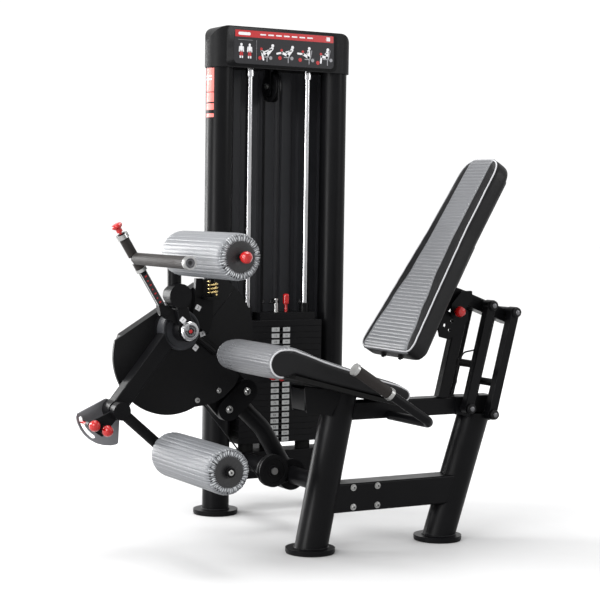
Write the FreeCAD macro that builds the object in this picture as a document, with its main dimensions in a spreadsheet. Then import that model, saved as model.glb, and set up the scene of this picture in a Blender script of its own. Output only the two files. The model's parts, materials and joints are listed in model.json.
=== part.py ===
import FreeCAD, Part
import math
import os
import Sketcher
from FreeCAD import Placement, Rotation, Vector

# Leg extension machine, in millimetres. The origin is on the floor under the front seat leg.
# +X runs from the front rollers to the back of the seat, +Y from the seat to the weight tower.

doc = FreeCAD.newDocument("leg_extension_machine")
sheet = doc.addObject("Spreadsheet::Sheet", "dims")

DRIVING = [
    ("column_dia", 90, "tower column tube, outside"),
    ("leg_dia", 100, "seat leg tube, outside"),
    ("tube_wall", 3, "wall of round and square frame tubes"),
    ("foot_dia", 150, "round foot plate"),
    ("foot_thick", 12, "foot plate thickness"),
    ("pad_thick", 4, "rubber pad under a foot plate"),
    ("tower_y", 696, "tower columns, distance behind the seat line"),
    ("left_x", 32, "left column centre"),
    ("right_x", 470, "right column centre"),
    ("column_top", 1540, "top of the columns, inside the cover"),
    ("cap_bottom", 1494, "bottom edge of the top cover"),
    ("cap_height", 136, "height of the top cover"),
    ("cap_depth", 104, "depth of the top cover"),
    ("cap_round", 58, "corner radius of the top cover"),
    ("shell_wall", 3, "sheet and moulded cover thickness"),
    ("base_low", 115, "underside of the tower base beam"),
    ("base_high", 205, "top of the tower base beam"),
    ("rod_dia", 20, "guide rod"),
    ("rod_left_x", 140, "left guide rod centre"),
    ("rod_right_x", 362, "right guide rod centre"),
    ("rod_y", 690, "guide rods and plate centre"),
    ("stack_x", 251, "middle of the weight stack"),
    ("plate_width", 315, "weight plate, side to side"),
    ("plate_depth", 84, "weight plate, front to back"),
    ("plate_pitch", 20.8, "weight plate thickness"),
    ("stack_low", 234, "underside of the lowest plate"),
    ("pulley_dia", 104, "cable pulley, over its rims"),
    ("pulley_thick", 20, "cable pulley width"),
    ("cable_dia", 5, "steel lifting cable"),
    ("pulley_z", 1443, "top pulley axis height"),
    ("beam_tall", 87, "lower seat beam height"),
    ("beam_wide", 80, "lower seat beam width"),
    ("lower_beam_z", 162, "lower seat beam centre height"),
    ("upper_beam_z", 423, "upper seat beam centre height"),
    ("upper_tall", 55, "upper seat beam height"),
    ("upper_wide", 60, "upper seat beam width"),
    ("seat_half", 181, "half the seat width"),
    ("pivot_x", -316, "main pivot axis"),
    ("pivot_z", 659, "main pivot axis height"),
    ("axle_dia", 36, "main axle"),
    ("axle_gap", 0.08, "running clearance, radial"),
    ("wheel_dia", 124, "lever wheel"),
    ("lever_size", 48, "leg lever square tube"),
    ("hub_x", -527, "lower hub axis"),
    ("hub_z", 427, "lower hub axis height"),
    ("roller_dia", 140, "foam roller"),
    ("roller_length", 385, "foam roller length"),
    ("low_roller_x", -375, "lower roller axis"),
    ("low_roller_z", 295, "lower roller axis height"),
    ("top_roller_x", -347, "top roller axis"),
    ("top_roller_z", 893, "top roller axis height"),
    ("upper_hub_x", -345, "upper hub axis"),
    ("upper_hub_z", 765, "upper hub axis height"),
    ("cover_round", 187, "end radius of the drive covers"),
    ("cover_y", 311, "front face of the drive covers"),
    ("cover_deep", 37, "depth of the front drive covers"),
    ("link_size", 30, "backrest link square tube"),
    ("link_y", 60, "backrest link distance from the middle"),
    ("rest_long", 697, "back pad length"),
    ("rest_thick", 65, "back pad thickness"),
    ("knob_dia", 34, "red pull knob"),
    ("handle_dia", 28, "side handle tube"),
    ("handle_y", 262, "side handle distance from the middle"),
    ("cam_dia", 132, "drive cam"),
]


class Dim:
    """A size from the sheet: its value now, and the formula that ties a property to it."""

    def __init__(self, value, formula):
        self.value = float(value)
        self.formula = formula

    def joined(self, sign, other, value, swap=False):
        text = other.formula if isinstance(other, Dim) else repr(float(other))
        left, right = (text, self.formula) if swap else (self.formula, text)
        return Dim(value, "(%s %s %s)" % (left, sign, right))

    def __add__(self, other):
        return self.joined("+", other, self.value + float(other))

    def __radd__(self, other):
        return self.joined("+", other, float(other) + self.value, True)

    def __sub__(self, other):
        return self.joined("-", other, self.value - float(other))

    def __rsub__(self, other):
        return self.joined("-", other, float(other) - self.value, True)

    def __mul__(self, other):
        return self.joined("*", other, self.value * float(other))

    def __rmul__(self, other):
        return self.joined("*", other, float(other) * self.value, True)

    def __truediv__(self, other):
        return self.joined("/", other, self.value / float(other))

    def __neg__(self):
        return 0.0 - self

    def __float__(self):
        return self.value


class Dims:
    """The driving dimensions by name."""


d = Dims()
for row, (alias, value, meaning) in enumerate(DRIVING, start=1):
    sheet.set("A%d" % row, meaning)
    sheet.set("B%d" % row, str(value))
    sheet.setAlias("B%d" % row, alias)
    setattr(d, alias, Dim(value, "dims.%s" % alias))
doc.recompute()

UP = Vector(0, 0, 1)
TO_TOWER = Vector(0, 1, 0)
TO_USER = Vector(0, -1, 0)
REARWARD = Vector(1, 0, 0)
PARTS = []


def vec(*xyz):
    return Vector(*[float(c) for c in xyz])


def bind(obj, prop, size):
    """Set a property, and tie it to the sheet when the size comes from there."""
    if isinstance(size, Dim):
        obj.setExpression(prop, size.formula)
    else:
        setattr(obj, prop, float(size))


def part(obj, label):
    """Register a finished object as a sub-part under its own label."""
    obj.Label = label
    PARTS.append(obj)
    return obj


def facing(start, direction, side=None):
    """A placement whose local Z runs along direction; local X is near side when given."""
    z = vec(*direction).normalize()
    if side is None:
        return Placement(vec(*start), Rotation(UP, z))
    return Placement(vec(*start), Rotation(vec(*side), Vector(0, 0, 0), z, "ZXY"))


# ---- Part primitives and booleans ----

def rod(radius, length, start, direction=UP):
    obj = doc.addObject("Part::Cylinder", "rod")
    bind(obj, "Radius", radius)
    bind(obj, "Height", length)
    obj.Placement = facing(start, direction)
    return obj


def ball(radius, centre):
    obj = doc.addObject("Part::Sphere", "ball")
    bind(obj, "Radius", radius)
    obj.Placement.Base = vec(*centre)
    return obj


def block(size, corner):
    obj = doc.addObject("Part::Box", "block")
    for prop, length in zip(("Length", "Width", "Height"), size):
        bind(obj, prop, length)
    obj.Placement.Base = vec(*corner)
    return obj


def fuse(*pieces):
    obj = doc.addObject("Part::MultiFuse", "joined")
    obj.Shapes = list(pieces)
    return obj


def cut(base, *tools):
    obj = doc.addObject("Part::Cut", "trimmed")
    obj.Base = base
    obj.Tool = tools[0] if len(tools) == 1 else fuse(*tools)
    return obj


def common(first, second):
    obj = doc.addObject("Part::Common", "overlap")
    obj.Base = first
    obj.Tool = second
    return obj


def group(*pieces):
    """Separate solids kept in one object."""
    obj = doc.addObject("Part::Compound", "group")
    obj.Links = list(pieces)
    return obj


def ring(outer, inner, length, start, direction=UP):
    return cut(rod(outer, length, start, direction), rod(inner, length, start, direction))


# ---- PartDesign bodies ----

def new_body(label, placement):
    body = doc.addObject("PartDesign::Body", label)
    body.Placement = placement
    return body


def new_sketch(body, role="XY_Plane"):
    sketch = body.newObject("Sketcher::SketchObject", "outline")
    plane = [f for f in body.Origin.OriginFeatures if f.Role == role][0]
    sketch.AttachmentSupport = (plane, [""])
    sketch.MapMode = "FlatFace"
    return sketch


def pin_point(sketch, geometry, vertex, point):
    """Hold one sketch vertex at a place, tied to the sheet where the place comes from it."""
    for kind, size in zip(("DistanceX", "DistanceY"), point):
        index = sketch.addConstraint(Sketcher.Constraint(kind, -1, 1, geometry, vertex, float(size)))
        if isinstance(size, Dim):
            sketch.setExpression("Constraints[%d]" % index, size.formula)


def draw_polygon(sketch, points):
    first = len(sketch.Geometry)
    count = len(points)
    ends = [Vector(float(x), float(y), 0) for x, y in points]
    for n in range(count):
        sketch.addGeometry(Part.LineSegment(ends[n], ends[(n + 1) % count]), False)
    for n in range(count):
        sketch.addConstraint(Sketcher.Constraint("Coincident", first + n, 2, first + (n + 1) % count, 1))
    for n, point in enumerate(points):
        pin_point(sketch, first + n, 1, point)


def draw_circle(sketch, centre, radius):
    middle = Vector(float(centre[0]), float(centre[1]), 0)
    index = sketch.addGeometry(Part.Circle(middle, UP, float(radius)), False)
    pin_point(sketch, index, 3, centre)
    size = sketch.addConstraint(Sketcher.Constraint("Radius", index, float(radius)))
    if isinstance(radius, Dim):
        sketch.setExpression("Constraints[%d]" % size, radius.formula)


def pad(body, sketch, length):
    feature = body.newObject("PartDesign::Pad", "pad")
    feature.Profile = sketch
    bind(feature, "Length", length)
    sketch.Visibility = False
    return feature


def soften(body, feature, radius, wanted):
    """Fillet the edges of the body's last feature that the test picks out."""
    doc.recompute()
    names = ["Edge%d" % n for n, e in enumerate(feature.Shape.Edges, start=1) if wanted(e)]
    fillet = body.newObject("PartDesign::Fillet", "fillet")
    fillet.Base = (feature, names)
    fillet.Radius = float(radius)
    body.Tip = fillet
    return fillet


def lengthwise(edge):
    """True for a straight edge along the pad direction, in the body's own frame."""
    if not isinstance(edge.Curve, Part.Line):
        return False
    return abs(edge.Curve.Direction.z) > 0.99


def plate(label, points, thickness, placement, corner=0.0, holes=()):
    """A flat plate: a polygon with rounded corners and round holes, padded once."""
    body = new_body(label, placement)
    sketch = new_sketch(body)
    draw_polygon(sketch, points)
    feature = pad(body, sketch, thickness)
    if corner:
        feature = soften(body, feature, corner, lengthwise)
    if holes:
        bores = new_sketch(body)
        for centre, radius in holes:
            draw_circle(bores, centre, radius)
        pocket = body.newObject("PartDesign::Pocket", "bores")
        pocket.Profile = bores
        pocket.Type = 1
        pocket.Reversed = True
        bores.Visibility = False
    return body


def beam(label, wide, tall, wall, length, placement, corner=5.0):
    """A rectangular tube with rounded outer corners, centred on its own Z axis."""
    body = new_body(label, placement)
    sketch = new_sketch(body)
    for inset in (0.0, wall):
        half_w = wide / 2 - inset
        half_t = tall / 2 - inset
        draw_polygon(sketch, [(-half_w, -half_t), (half_w, -half_t), (half_w, half_t), (-half_w, half_t)])
    feature = pad(body, sketch, length)
    edge_w = float(wide) / 2
    soften(body, feature, corner,
           lambda e: lengthwise(e) and abs(abs(e.Vertexes[0].X) - edge_w) < 0.01)
    return body


def turned(label, profile, placement):
    """A turned piece: a (radius, height) outline revolved about its own Z axis."""
    body = new_body(label, placement)
    sketch = new_sketch(body, "XZ_Plane")
    draw_polygon(sketch, profile)
    feature = body.newObject("PartDesign::Revolution", "turned")
    feature.Profile = sketch
    feature.ReferenceAxis = (sketch, ["V_Axis"])
    feature.Angle = 360.0
    sketch.Visibility = False
    return body


def bent_tube(label, radius, bore, path, bend):
    """A round tube along straight runs joined by tangent arcs."""
    points = [vec(*p) for p in path]
    edges = []
    start = points[0]
    for n in range(1, len(points) - 1):
        into = (points[n] - points[n - 1]).normalize()
        away = (points[n + 1] - points[n]).normalize()
        turn = into.getAngle(away)
        setback = bend * math.tan(turn / 2)
        first = points[n] - into * setback
        last = points[n] + away * setback
        centre_way = (away - into).normalize()
        centre = points[n] + centre_way * (bend / math.cos(turn / 2))
        middle = centre - centre_way * bend
        edges.append(Part.LineSegment(start, first).toShape())
        edges.append(Part.Arc(first, middle, last).toShape())
        start = last
    edges.append(Part.LineSegment(start, points[-1]).toShape())
    spine = Part.Wire(edges)
    way = (points[1] - points[0]).normalize()
    solids = []
    for size in (radius, bore):
        if size:
            loop = Part.Wire(Part.Circle(points[0], way, float(size)).toShape())
            solids.append(spine.makePipeShell([loop], True, False))
    shape = solids[0]
    if len(solids) == 2:
        shape = shape.cut(solids[1])
    obj = doc.addObject("Part::Feature", label)
    obj.Shape = shape
    return obj


# ---- Weight tower ----

def upright(label, x):
    """A tower column on its foot plate, with a short weld collar."""
    foot = rod(d.foot_dia / 2, d.foot_thick, (x, d.tower_y, d.pad_thick))
    low = d.pad_thick + d.foot_thick
    tube = ring(d.column_dia / 2, d.column_dia / 2 - d.tube_wall, d.column_top - low, (x, d.tower_y, low))
    return part(fuse(foot, tube), label)


upright("left_column", d.left_x)
upright("right_column", d.right_x)

seat_leg_feet = [(0, 0), (461, 0)]
tower_feet = [(d.left_x, d.tower_y), (d.right_x, d.tower_y)]
pads = [rod(d.foot_dia / 2 - 2, d.pad_thick, (x, y, 0)) for x, y in seat_leg_feet + tower_feet]
bumpers = [ring(26, d.rod_dia / 2 + 1, d.stack_low - d.base_high, (x, d.rod_y, d.base_high))
           for x in (d.rod_left_x, d.rod_right_x)]
part(group(*(pads + bumpers)), "rubber_pads")

BEAM_DEPTH = 90


def column_space():
    """Solids that fill the two columns, to trim the beams between them."""
    return [rod(d.column_dia / 2, 1600, (x, d.tower_y, 0)) for x in (d.left_x, d.right_x)]


def tower_beam(low, tall):
    span = d.right_x - d.left_x
    front = d.tower_y - BEAM_DEPTH / 2
    outer = block((span, BEAM_DEPTH, tall), (d.left_x, front, low))
    inner = block((span, BEAM_DEPTH - 2 * d.tube_wall, tall - 2 * d.tube_wall),
                  (d.left_x, front + d.tube_wall, low + d.tube_wall))
    return cut(outer, inner, *column_space())


CONDUIT = (60, 86, 110)          # steel box behind the base beam, where the cable turns
GROOVE = 3                       # cable centre, inside the pulley rim
pulley_y = d.rod_y + d.pulley_dia / 2 - GROOVE
rear_cable_y = d.rod_y + d.pulley_dia - 2 * GROOVE
conduit_y = d.tower_y + BEAM_DEPTH / 2
conduit = cut(block(CONDUIT, (d.stack_x - CONDUIT[0] / 2, conduit_y, d.base_low)),
              rod(d.cable_dia / 2 + 2, 20, (d.stack_x, rear_cable_y, float(d.base_low) + CONDUIT[2] - 12)))
TOP_BEAM_LOW = 1500
CHEEK = (5, 40, 90)              # side plates that carry the top pulley
cheek_low = d.pulley_z - 30
cheeks = [block(CHEEK, (d.stack_x + side, pulley_y - CHEEK[1] / 2, cheek_low)) for side in (-18, 13)]
cheek_roof = block((36, CHEEK[1], 6), (d.stack_x - 18, pulley_y - CHEEK[1] / 2, float(cheek_low) + CHEEK[2]))
axle_hole = rod(6, 60, (d.stack_x - 30, pulley_y, d.pulley_z), REARWARD)
hanger = cut(fuse(*(cheeks + [cheek_roof])), axle_hole)
hanger_tie = block((36, 20, 30), (d.stack_x - 18, d.tower_y + BEAM_DEPTH / 2 - 10, float(cheek_low) + CHEEK[2] + 6))
low_beam = fuse(tower_beam(d.base_low, d.base_high - d.base_low), conduit)
high_beam = cut(fuse(tower_beam(TOP_BEAM_LOW, 50), hanger_tie, hanger), rod(8, 70, (d.stack_x, d.rod_y, 1460)))
part(group(low_beam, high_beam), "tower_beams")


def stadium(x_low, x_high, y_low, y_high, z_low, tall, corner):
    """A shell form: rounded in plan at both ends, and rounded at its two top corners."""
    outline = [(x_low, z_low), (x_high, z_low), (x_high, z_low + tall), (x_low, z_low + tall)]
    depth = y_high - y_low
    body = new_body("cover_form", Placement(vec(0, y_high, 0), Rotation(REARWARD, 90)))
    sketch = new_sketch(body)
    draw_polygon(sketch, outline)
    feature = pad(body, sketch, depth)
    top = float(z_low) + float(tall)
    soften(body, feature, corner,
           lambda e: lengthwise(e) and abs(e.Vertexes[0].Y - top) < 0.01)
    half = depth / 2
    ends = [rod(half, tall, (x, y_low + half, z_low)) for x in (x_low + half, x_high - half)]
    middle = block((x_high - x_low - depth, depth, tall), (x_low + half, y_low, z_low))
    return common(body, fuse(*(ends + [middle])))


cap_front = d.tower_y - d.cap_depth / 2
cap_back = d.tower_y + d.cap_depth / 2
cap_left = d.left_x - d.cap_depth / 2
cap_right = d.right_x + d.cap_depth / 2
cap_shell = cut(
    stadium(cap_left, cap_right, cap_front, cap_back, d.cap_bottom, d.cap_height, d.cap_round),
    stadium(cap_left + d.shell_wall, cap_right - d.shell_wall, cap_front + d.shell_wall, cap_back - d.shell_wall,
            d.cap_bottom - 1, d.cap_height - d.shell_wall + 1, d.cap_round - d.shell_wall))
cable_slot = block((60, 30, 60), (d.stack_x - 30, cap_back - 20, d.cap_bottom - 5))
part(cut(cap_shell, cable_slot), "top_cover")

PLACARD = (382, 113, 3)          # width, height, thickness
placard = plate("name_placard", [(0, 0), (PLACARD[0], 0), (PLACARD[0], PLACARD[1]), (0, PLACARD[1])], PLACARD[2],
                Placement(vec(d.stack_x - PLACARD[0] / 2 - 5, cap_front, 1507), Rotation(REARWARD, 90)), 14)
part(placard, "placard")


def folded_back():
    """Rear sheet: a back wall with folded ribs and two side returns, as one open profile."""
    back = float(rear_cable_y) + 16
    left = float(d.left_x)
    right = float(d.right_x)
    front = float(cap_back) + 0.5
    rib_pitch = (right - left - 40) / 6
    line = [(left, front), (left, back)]
    for n in range(6):
        x = left + 20 + n * rib_pitch
        line += [(x, back), (x + 6, back - 9), (x + rib_pitch - 26, back - 9), (x + rib_pitch - 20, back)]
    line += [(right, back), (right, front)]
    return line


def offset_strip(line, wall):
    """Close an open line into a strip of the given width, mitred at its corners."""
    shifted = []
    for n, (x, y) in enumerate(line):
        before = Vector(x - line[n - 1][0], y - line[n - 1][1], 0).normalize() if n else None
        after = None
        if n < len(line) - 1:
            after = Vector(line[n + 1][0] - x, line[n + 1][1] - y, 0).normalize()
        ways = [w for w in (before, after) if w is not None]
        normals = [Vector(w.y, -w.x, 0) for w in ways]
        mid = normals[0] if len(normals) == 1 else (normals[0] + normals[1]).normalize()
        reach = wall / max(0.3, mid.dot(normals[0]))
        shifted.append((x + mid.x * reach, y + mid.y * reach))
    return line + shifted[::-1]


SHROUD_TOP = 1560
shroud_body = new_body("rear_sheet", Placement(vec(0, 0, d.base_high + 20), Rotation()))
shroud_sketch = new_sketch(shroud_body)
draw_polygon(shroud_sketch, offset_strip(folded_back(), 2.0))
pad(shroud_body, shroud_sketch, SHROUD_TOP - (d.base_high + 20))
part(shroud_body, "rear_shroud")

ROD_TOP = 1500
rods = [rod(d.rod_dia / 2, ROD_TOP - d.base_high, (x, d.rod_y, d.base_high)) for x in (d.rod_left_x, d.rod_right_x)]
collars = [rod(15, 30, (x, d.rod_y, ROD_TOP - 30)) for x in (d.rod_left_x, d.rod_right_x)]
part(group(*[fuse(*pair) for pair in zip(rods, collars)]), "guide_rods")

# ---- Weight stack ----

RESTING = 10
LIFTED = 9
PIN_RADIUS = 4.5
STEM_RADIUS = 12.0


def weight_plate(index):
    """One steel plate with chamfered edges, a stem hole, two rod holes and a pin hole."""
    low = d.stack_low + index * d.plate_pitch
    body = new_body("plate", Placement(vec(d.stack_x, d.rod_y, low), Rotation()))
    sketch = new_sketch(body)
    w = d.plate_width / 2
    h = d.plate_depth / 2
    draw_polygon(sketch, [(-w, -h), (w, -h), (w, h), (-w, h)])
    feature = pad(body, sketch, d.plate_pitch)
    doc.recompute()
    chamfer = body.newObject("PartDesign::Chamfer", "edge")
    names = ["Edge%d" % n for n, e in enumerate(feature.Shape.Edges, start=1) if not lengthwise(e)]
    chamfer.Base = (feature, names)
    chamfer.Size = 1.2
    body.Tip = chamfer
    holes = [rod(STEM_RADIUS + 0.6, 30, (d.stack_x, d.rod_y, low - 4))]
    for x in (d.rod_left_x, d.rod_right_x):
        holes.append(rod(d.rod_dia / 2 + 1.2, 30, (x, d.rod_y, low - 4)))
    if index < RESTING + LIFTED:
        pin_z = low + d.plate_pitch / 2
        holes.append(rod(PIN_RADIUS + 0.8, 60, (d.stack_x, d.rod_y - d.plate_depth / 2 - 5, pin_z), TO_TOWER))
    return cut(body, *holes)


part(group(*[weight_plate(n) for n in range(RESTING)]), "resting_plates")
part(group(*[weight_plate(n) for n in range(RESTING, RESTING + LIFTED)]), "lifted_plates")
stack_top = d.stack_low + (RESTING + LIFTED) * d.plate_pitch
head_z = stack_top + d.plate_pitch
top_plate = weight_plate(RESTING + LIFTED)
HEAD = (212, 60, 26)
head_bar = cut(block(HEAD, (d.stack_x - 75, d.rod_y - HEAD[1] / 2, head_z)),
               rod(STEM_RADIUS + 0.05, 60, (d.stack_x, d.rod_y, head_z - 5)),
               rod(d.rod_dia / 2 + 1.2, 60, (d.rod_right_x, d.rod_y, head_z - 5)))
sleeves = [ring(16, d.rod_dia / 2 + 0.6, 44, (d.rod_left_x, d.rod_y, head_z)),
           ring(16, d.rod_dia / 2 + 0.6, 30, (d.rod_right_x, d.rod_y, head_z + HEAD[2]))]
part(fuse(*([top_plate, head_bar] + sleeves)), "head_plate")

lifted_low = d.stack_low + RESTING * d.plate_pitch
pin_z = lifted_low + d.plate_pitch / 2
stem_low = d.stack_low + 3
STUD_TOP = 46
stem_holes = [rod(PIN_RADIUS + 0.8, 60, (d.stack_x, d.rod_y - 30, d.stack_low + (n + 0.5) * d.plate_pitch), TO_TOWER)
              for n in range(RESTING + LIFTED)]
stem = cut(fuse(rod(STEM_RADIUS, head_z + HEAD[2] - stem_low, (d.stack_x, d.rod_y, stem_low)),
                rod(8, STUD_TOP, (d.stack_x, d.rod_y, head_z + HEAD[2]))), *stem_holes)
part(stem, "selector_stem")

stud_top = head_z + HEAD[2] + STUD_TOP
part(rod(d.cable_dia / 2, d.pulley_z - stud_top, (d.stack_x, d.rod_y, stud_top)), "stack_cable")

PIN_LENGTH = 58
pin_front = d.rod_y - d.plate_depth / 2 - 2
pin_shaft = rod(PIN_RADIUS, PIN_LENGTH, (d.stack_x, pin_front - 4, pin_z), TO_TOWER)
pin_neck = rod(9, 8, (d.stack_x, pin_front - 8, pin_z), TO_TOWER)
knob_end = (float(d.stack_x) - 44, float(pin_front) - 24, float(pin_z) + 12)
neck_start = (float(d.stack_x), float(pin_front) - 6, float(pin_z))
neck_way = vec(*knob_end) - vec(*neck_start)
pin_arm = rod(4, neck_way.Length, neck_start, tuple(neck_way))
part(fuse(pin_shaft, pin_neck, pin_arm, ball(15, knob_end)), "selector_pin")

knob_x = float(d.stack_x) + 35
knob_profile = [(0, 0), (5, 0), (5, 26), (9.5, 28), (10.5, 30), (10.5, 57), (9, 60.5), (6, 62), (0, 62)]
part(turned("add_on_knob", knob_profile, facing((knob_x, float(d.rod_y) - 8, head_z + HEAD[2]), UP)), "weight_knob")


def pulley(label, centre, axis, bore):
    """A grooved pulley wheel with a web thinner than its rim and hub."""
    rim = d.pulley_dia / 2
    half = d.pulley_thick / 2
    profile = [(bore, 0), (18, 0), (18, 4), (rim - 12, 4), (rim - 12, 0), (rim, 0), (rim, 3), (rim - 7, half),
               (rim, d.pulley_thick - 3), (rim, d.pulley_thick), (rim - 12, d.pulley_thick),
               (rim - 12, d.pulley_thick - 4), (18, d.pulley_thick - 4), (18, d.pulley_thick), (bore, d.pulley_thick)]
    start = vec(*centre) - vec(*axis) * (float(d.pulley_thick) / 2)
    return part(turned(label + "_wheel", profile, facing(tuple(start), axis)), label)


PULLEY_BORE = 6.08
pulley("top_pulley", (d.stack_x, pulley_y, d.pulley_z), (1, 0, 0), PULLEY_BORE)
base_pulley = (48, 328, 196)
pulley("base_pulley", base_pulley, (0, 1, 0), PULLEY_BORE)

# ---- Seat frame ----

FRONT_LEAN = (80, 0, 388)        # direction of the front leg
REAR_LEAN = (122, 0, 370)        # direction of the rear leg
FRONT_LEG_TOP = 488
upper_low = d.upper_beam_z - d.upper_tall / 2
upper_high = d.upper_beam_z + d.upper_tall / 2
floor_plate_top = d.pad_thick + d.foot_thick


def leg_core(radius, foot_x, lean):
    """A long cylinder along the leg, used to make the tube and to trim beams to it."""
    way = vec(*lean).normalize()
    start = vec(foot_x, 0, 0) - way * 60
    return rod(radius, 700, tuple(start), lean)


def leg_tube(foot_x, lean, top, wanted):
    slab = block((400, 160, top - floor_plate_top), (foot_x - 100, -80, floor_plate_top))
    tube = cut(leg_core(d.leg_dia / 2, foot_x, lean), leg_core(d.leg_dia / 2 - d.tube_wall, foot_x, lean))
    foot = rod(d.foot_dia / 2, d.foot_thick, (foot_x, 0, d.pad_thick))
    return fuse(*([common(slab, tube), foot] + wanted))


def side_plate(points, thickness, y_far, corner=0.0, holes=()):
    """A plate in the side view: points are (x, z), and it runs from y_far towards the user."""
    return plate("side_plate", points, thickness, Placement(vec(0, y_far, 0), Rotation(REARWARD, 90)), corner, holes)


gusset_outline = [(-52, 505), (-44, 428), (40, 414), (75, 470), (60, 488)]
gussets = [cut(side_plate(gusset_outline, 5, y, 4), leg_core(d.leg_dia / 2, 0, FRONT_LEAN)) for y in (44, -39)]
gusset_tie = cut(block((5, 78, 62), (-48, -39, 434)), leg_core(d.leg_dia / 2, 0, FRONT_LEAN))
base_top = [(-150, 553.6), (-46, 526.2), (110, 485.2), (222, 457.4)]
BASE_THICK = 12
under_seat = [(x, z - BASE_THICK - 0.3) for x, z in base_top]
above_board = side_plate([(-300, under_seat[0][1] + 39)] + under_seat + [(222, 700), (-300, 700)], 300, 150)
part(cut(leg_tube(0, FRONT_LEAN, FRONT_LEG_TOP, gussets + [gusset_tie]), above_board), "seat_front_leg")

lower = beam("lower_tube", d.beam_wide, d.beam_tall, d.tube_wall, 480,
             facing((36, 0, d.lower_beam_z), (1, 0, 0), (0, 1, 0)), 6)
part(cut(lower, leg_core(d.leg_dia / 2, 0, FRONT_LEAN), leg_core(d.leg_dia / 2, 461, REAR_LEAN)), "lower_beam")

LINK_FRONT = (523, 417)          # lower link pivots, (x, z)
LINK_REAR = (612, 394)
TOP_FRONT = (603, 736)           # upper link pivots
TOP_REAR = (693, 713)
PIN_R = 8.0
BOSS_R = 17
rear_x, rear_z = LINK_REAR
boss_room = [rod(BOSS_R + 1.5, 60, (rear_x, y, rear_z), TO_TOWER) for y in (-104, 44)]
rear_pin_room = rod(PIN_R, 160, (rear_x, -80, rear_z), TO_TOWER)
part(cut(leg_tube(461, REAR_LEAN, upper_low, []), rear_pin_room, *boss_room), "seat_rear_leg")
beam_half = d.upper_wide / 2
upper = beam("upper_tube", d.upper_wide, d.upper_tall, d.tube_wall, 552,
             facing((93, 0, d.upper_beam_z), (1, 0, 0), (0, 1, 0)), 5)
cheek_outline = [(498, 450), (498, 400), (590, 371), (634, 371), (642, 400), (642, 450)]
link_cheeks = [cut(side_plate(cheek_outline, 6, y, 10), leg_core(d.leg_dia / 2, 461, REAR_LEAN))
               for y in (beam_half + 6, 0 - beam_half)]
pin_holes = [rod(PIN_R, 160, (x, -80, z), TO_TOWER) for x, z in (LINK_FRONT, LINK_REAR)]
upper_trimmed = cut(upper, leg_core(d.leg_dia / 2, 0, FRONT_LEAN))
part(cut(fuse(upper_trimmed, *link_cheeks), *pin_holes), "upper_beam")


def bolt(x, z, y_face, radius=7, proud=6):
    """A button-head bolt with its washer on a face that looks towards -Y."""
    profile = [(0, 0), (radius + 3, 0), (radius + 3, 2), (radius, 2), (radius, 4), (radius - 3, proud), (0, proud)]
    return turned("bolt", profile, facing((x, y_face, z), TO_USER))


beam_face = 0 - d.beam_wide / 2
bolts = [bolt(x, z, beam_face) for x in (124.5, 210) for z in (134, 193)]
tail_pin = fuse(rod(7, 24, (645, 0, d.upper_beam_z), REARWARD), rod(11, 5, (645, 0, d.upper_beam_z), REARWARD))
hinge_pins = []
for x, z in (LINK_FRONT, LINK_REAR):
    shaft = rod(PIN_R, 164, (x, -82, z), TO_TOWER)
    heads = [rod(12, 5, (x, -87, z), TO_TOWER), rod(12, 5, (x, 82, z), TO_TOWER)]
    hinge_pins.append(fuse(shaft, *heads))
top_shaft = fuse(rod(6, 46, (d.stack_x - 23, pulley_y, d.pulley_z), REARWARD),
                rod(10, 6, (d.stack_x - 24, pulley_y, d.pulley_z), REARWARD),
                rod(10, 6, (d.stack_x + 18, pulley_y, d.pulley_z), REARWARD))
base_shaft = fuse(rod(6, 30, (base_pulley[0], 312, base_pulley[2]), TO_TOWER),
                 rod(11, 5, (base_pulley[0], 311, base_pulley[2]), TO_TOWER))

# The seat pad rises over a full front roll and falls away to the back.
ROLL = (-196, 588, 45)           # centre x, z and radius of the front roll
seat_top = [(-160, 632), (-112, 616), (13, 572), (110, 541), (194, 517), (228, 503)]
seat_low = [(248, 478), (232, 456), (110, 486), (-46, 527), (-160, 557)]


def seat_side():
    """Side outline of the seat pad: roll, long top, and underside."""
    roll = []
    for step in range(9):
        angle = math.radians(-70 - step * 24)
        roll.append((ROLL[0] + ROLL[2] * math.cos(angle), ROLL[1] + ROLL[2] * math.sin(angle)))
    return roll + seat_top + seat_low


seat_body = new_body("seat_form", Placement(vec(0, d.seat_half - 6, 0), Rotation(REARWARD, 90)))
seat_sketch = new_sketch(seat_body)
draw_polygon(seat_sketch, seat_side())
pad(seat_body, seat_sketch, 2 * (d.seat_half - 6))
part(seat_body, "seat_cushion")
base_outline = base_top + [(x, z - BASE_THICK) for x, z in base_top[::-1]]
seat_board = side_plate(base_outline, 2 * d.seat_half - 40, d.seat_half - 20)
beam_room = block((200, 64, 60), (150, -32, upper_high - 59.5))
part(cut(seat_board, beam_room), "seat_base")

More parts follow.
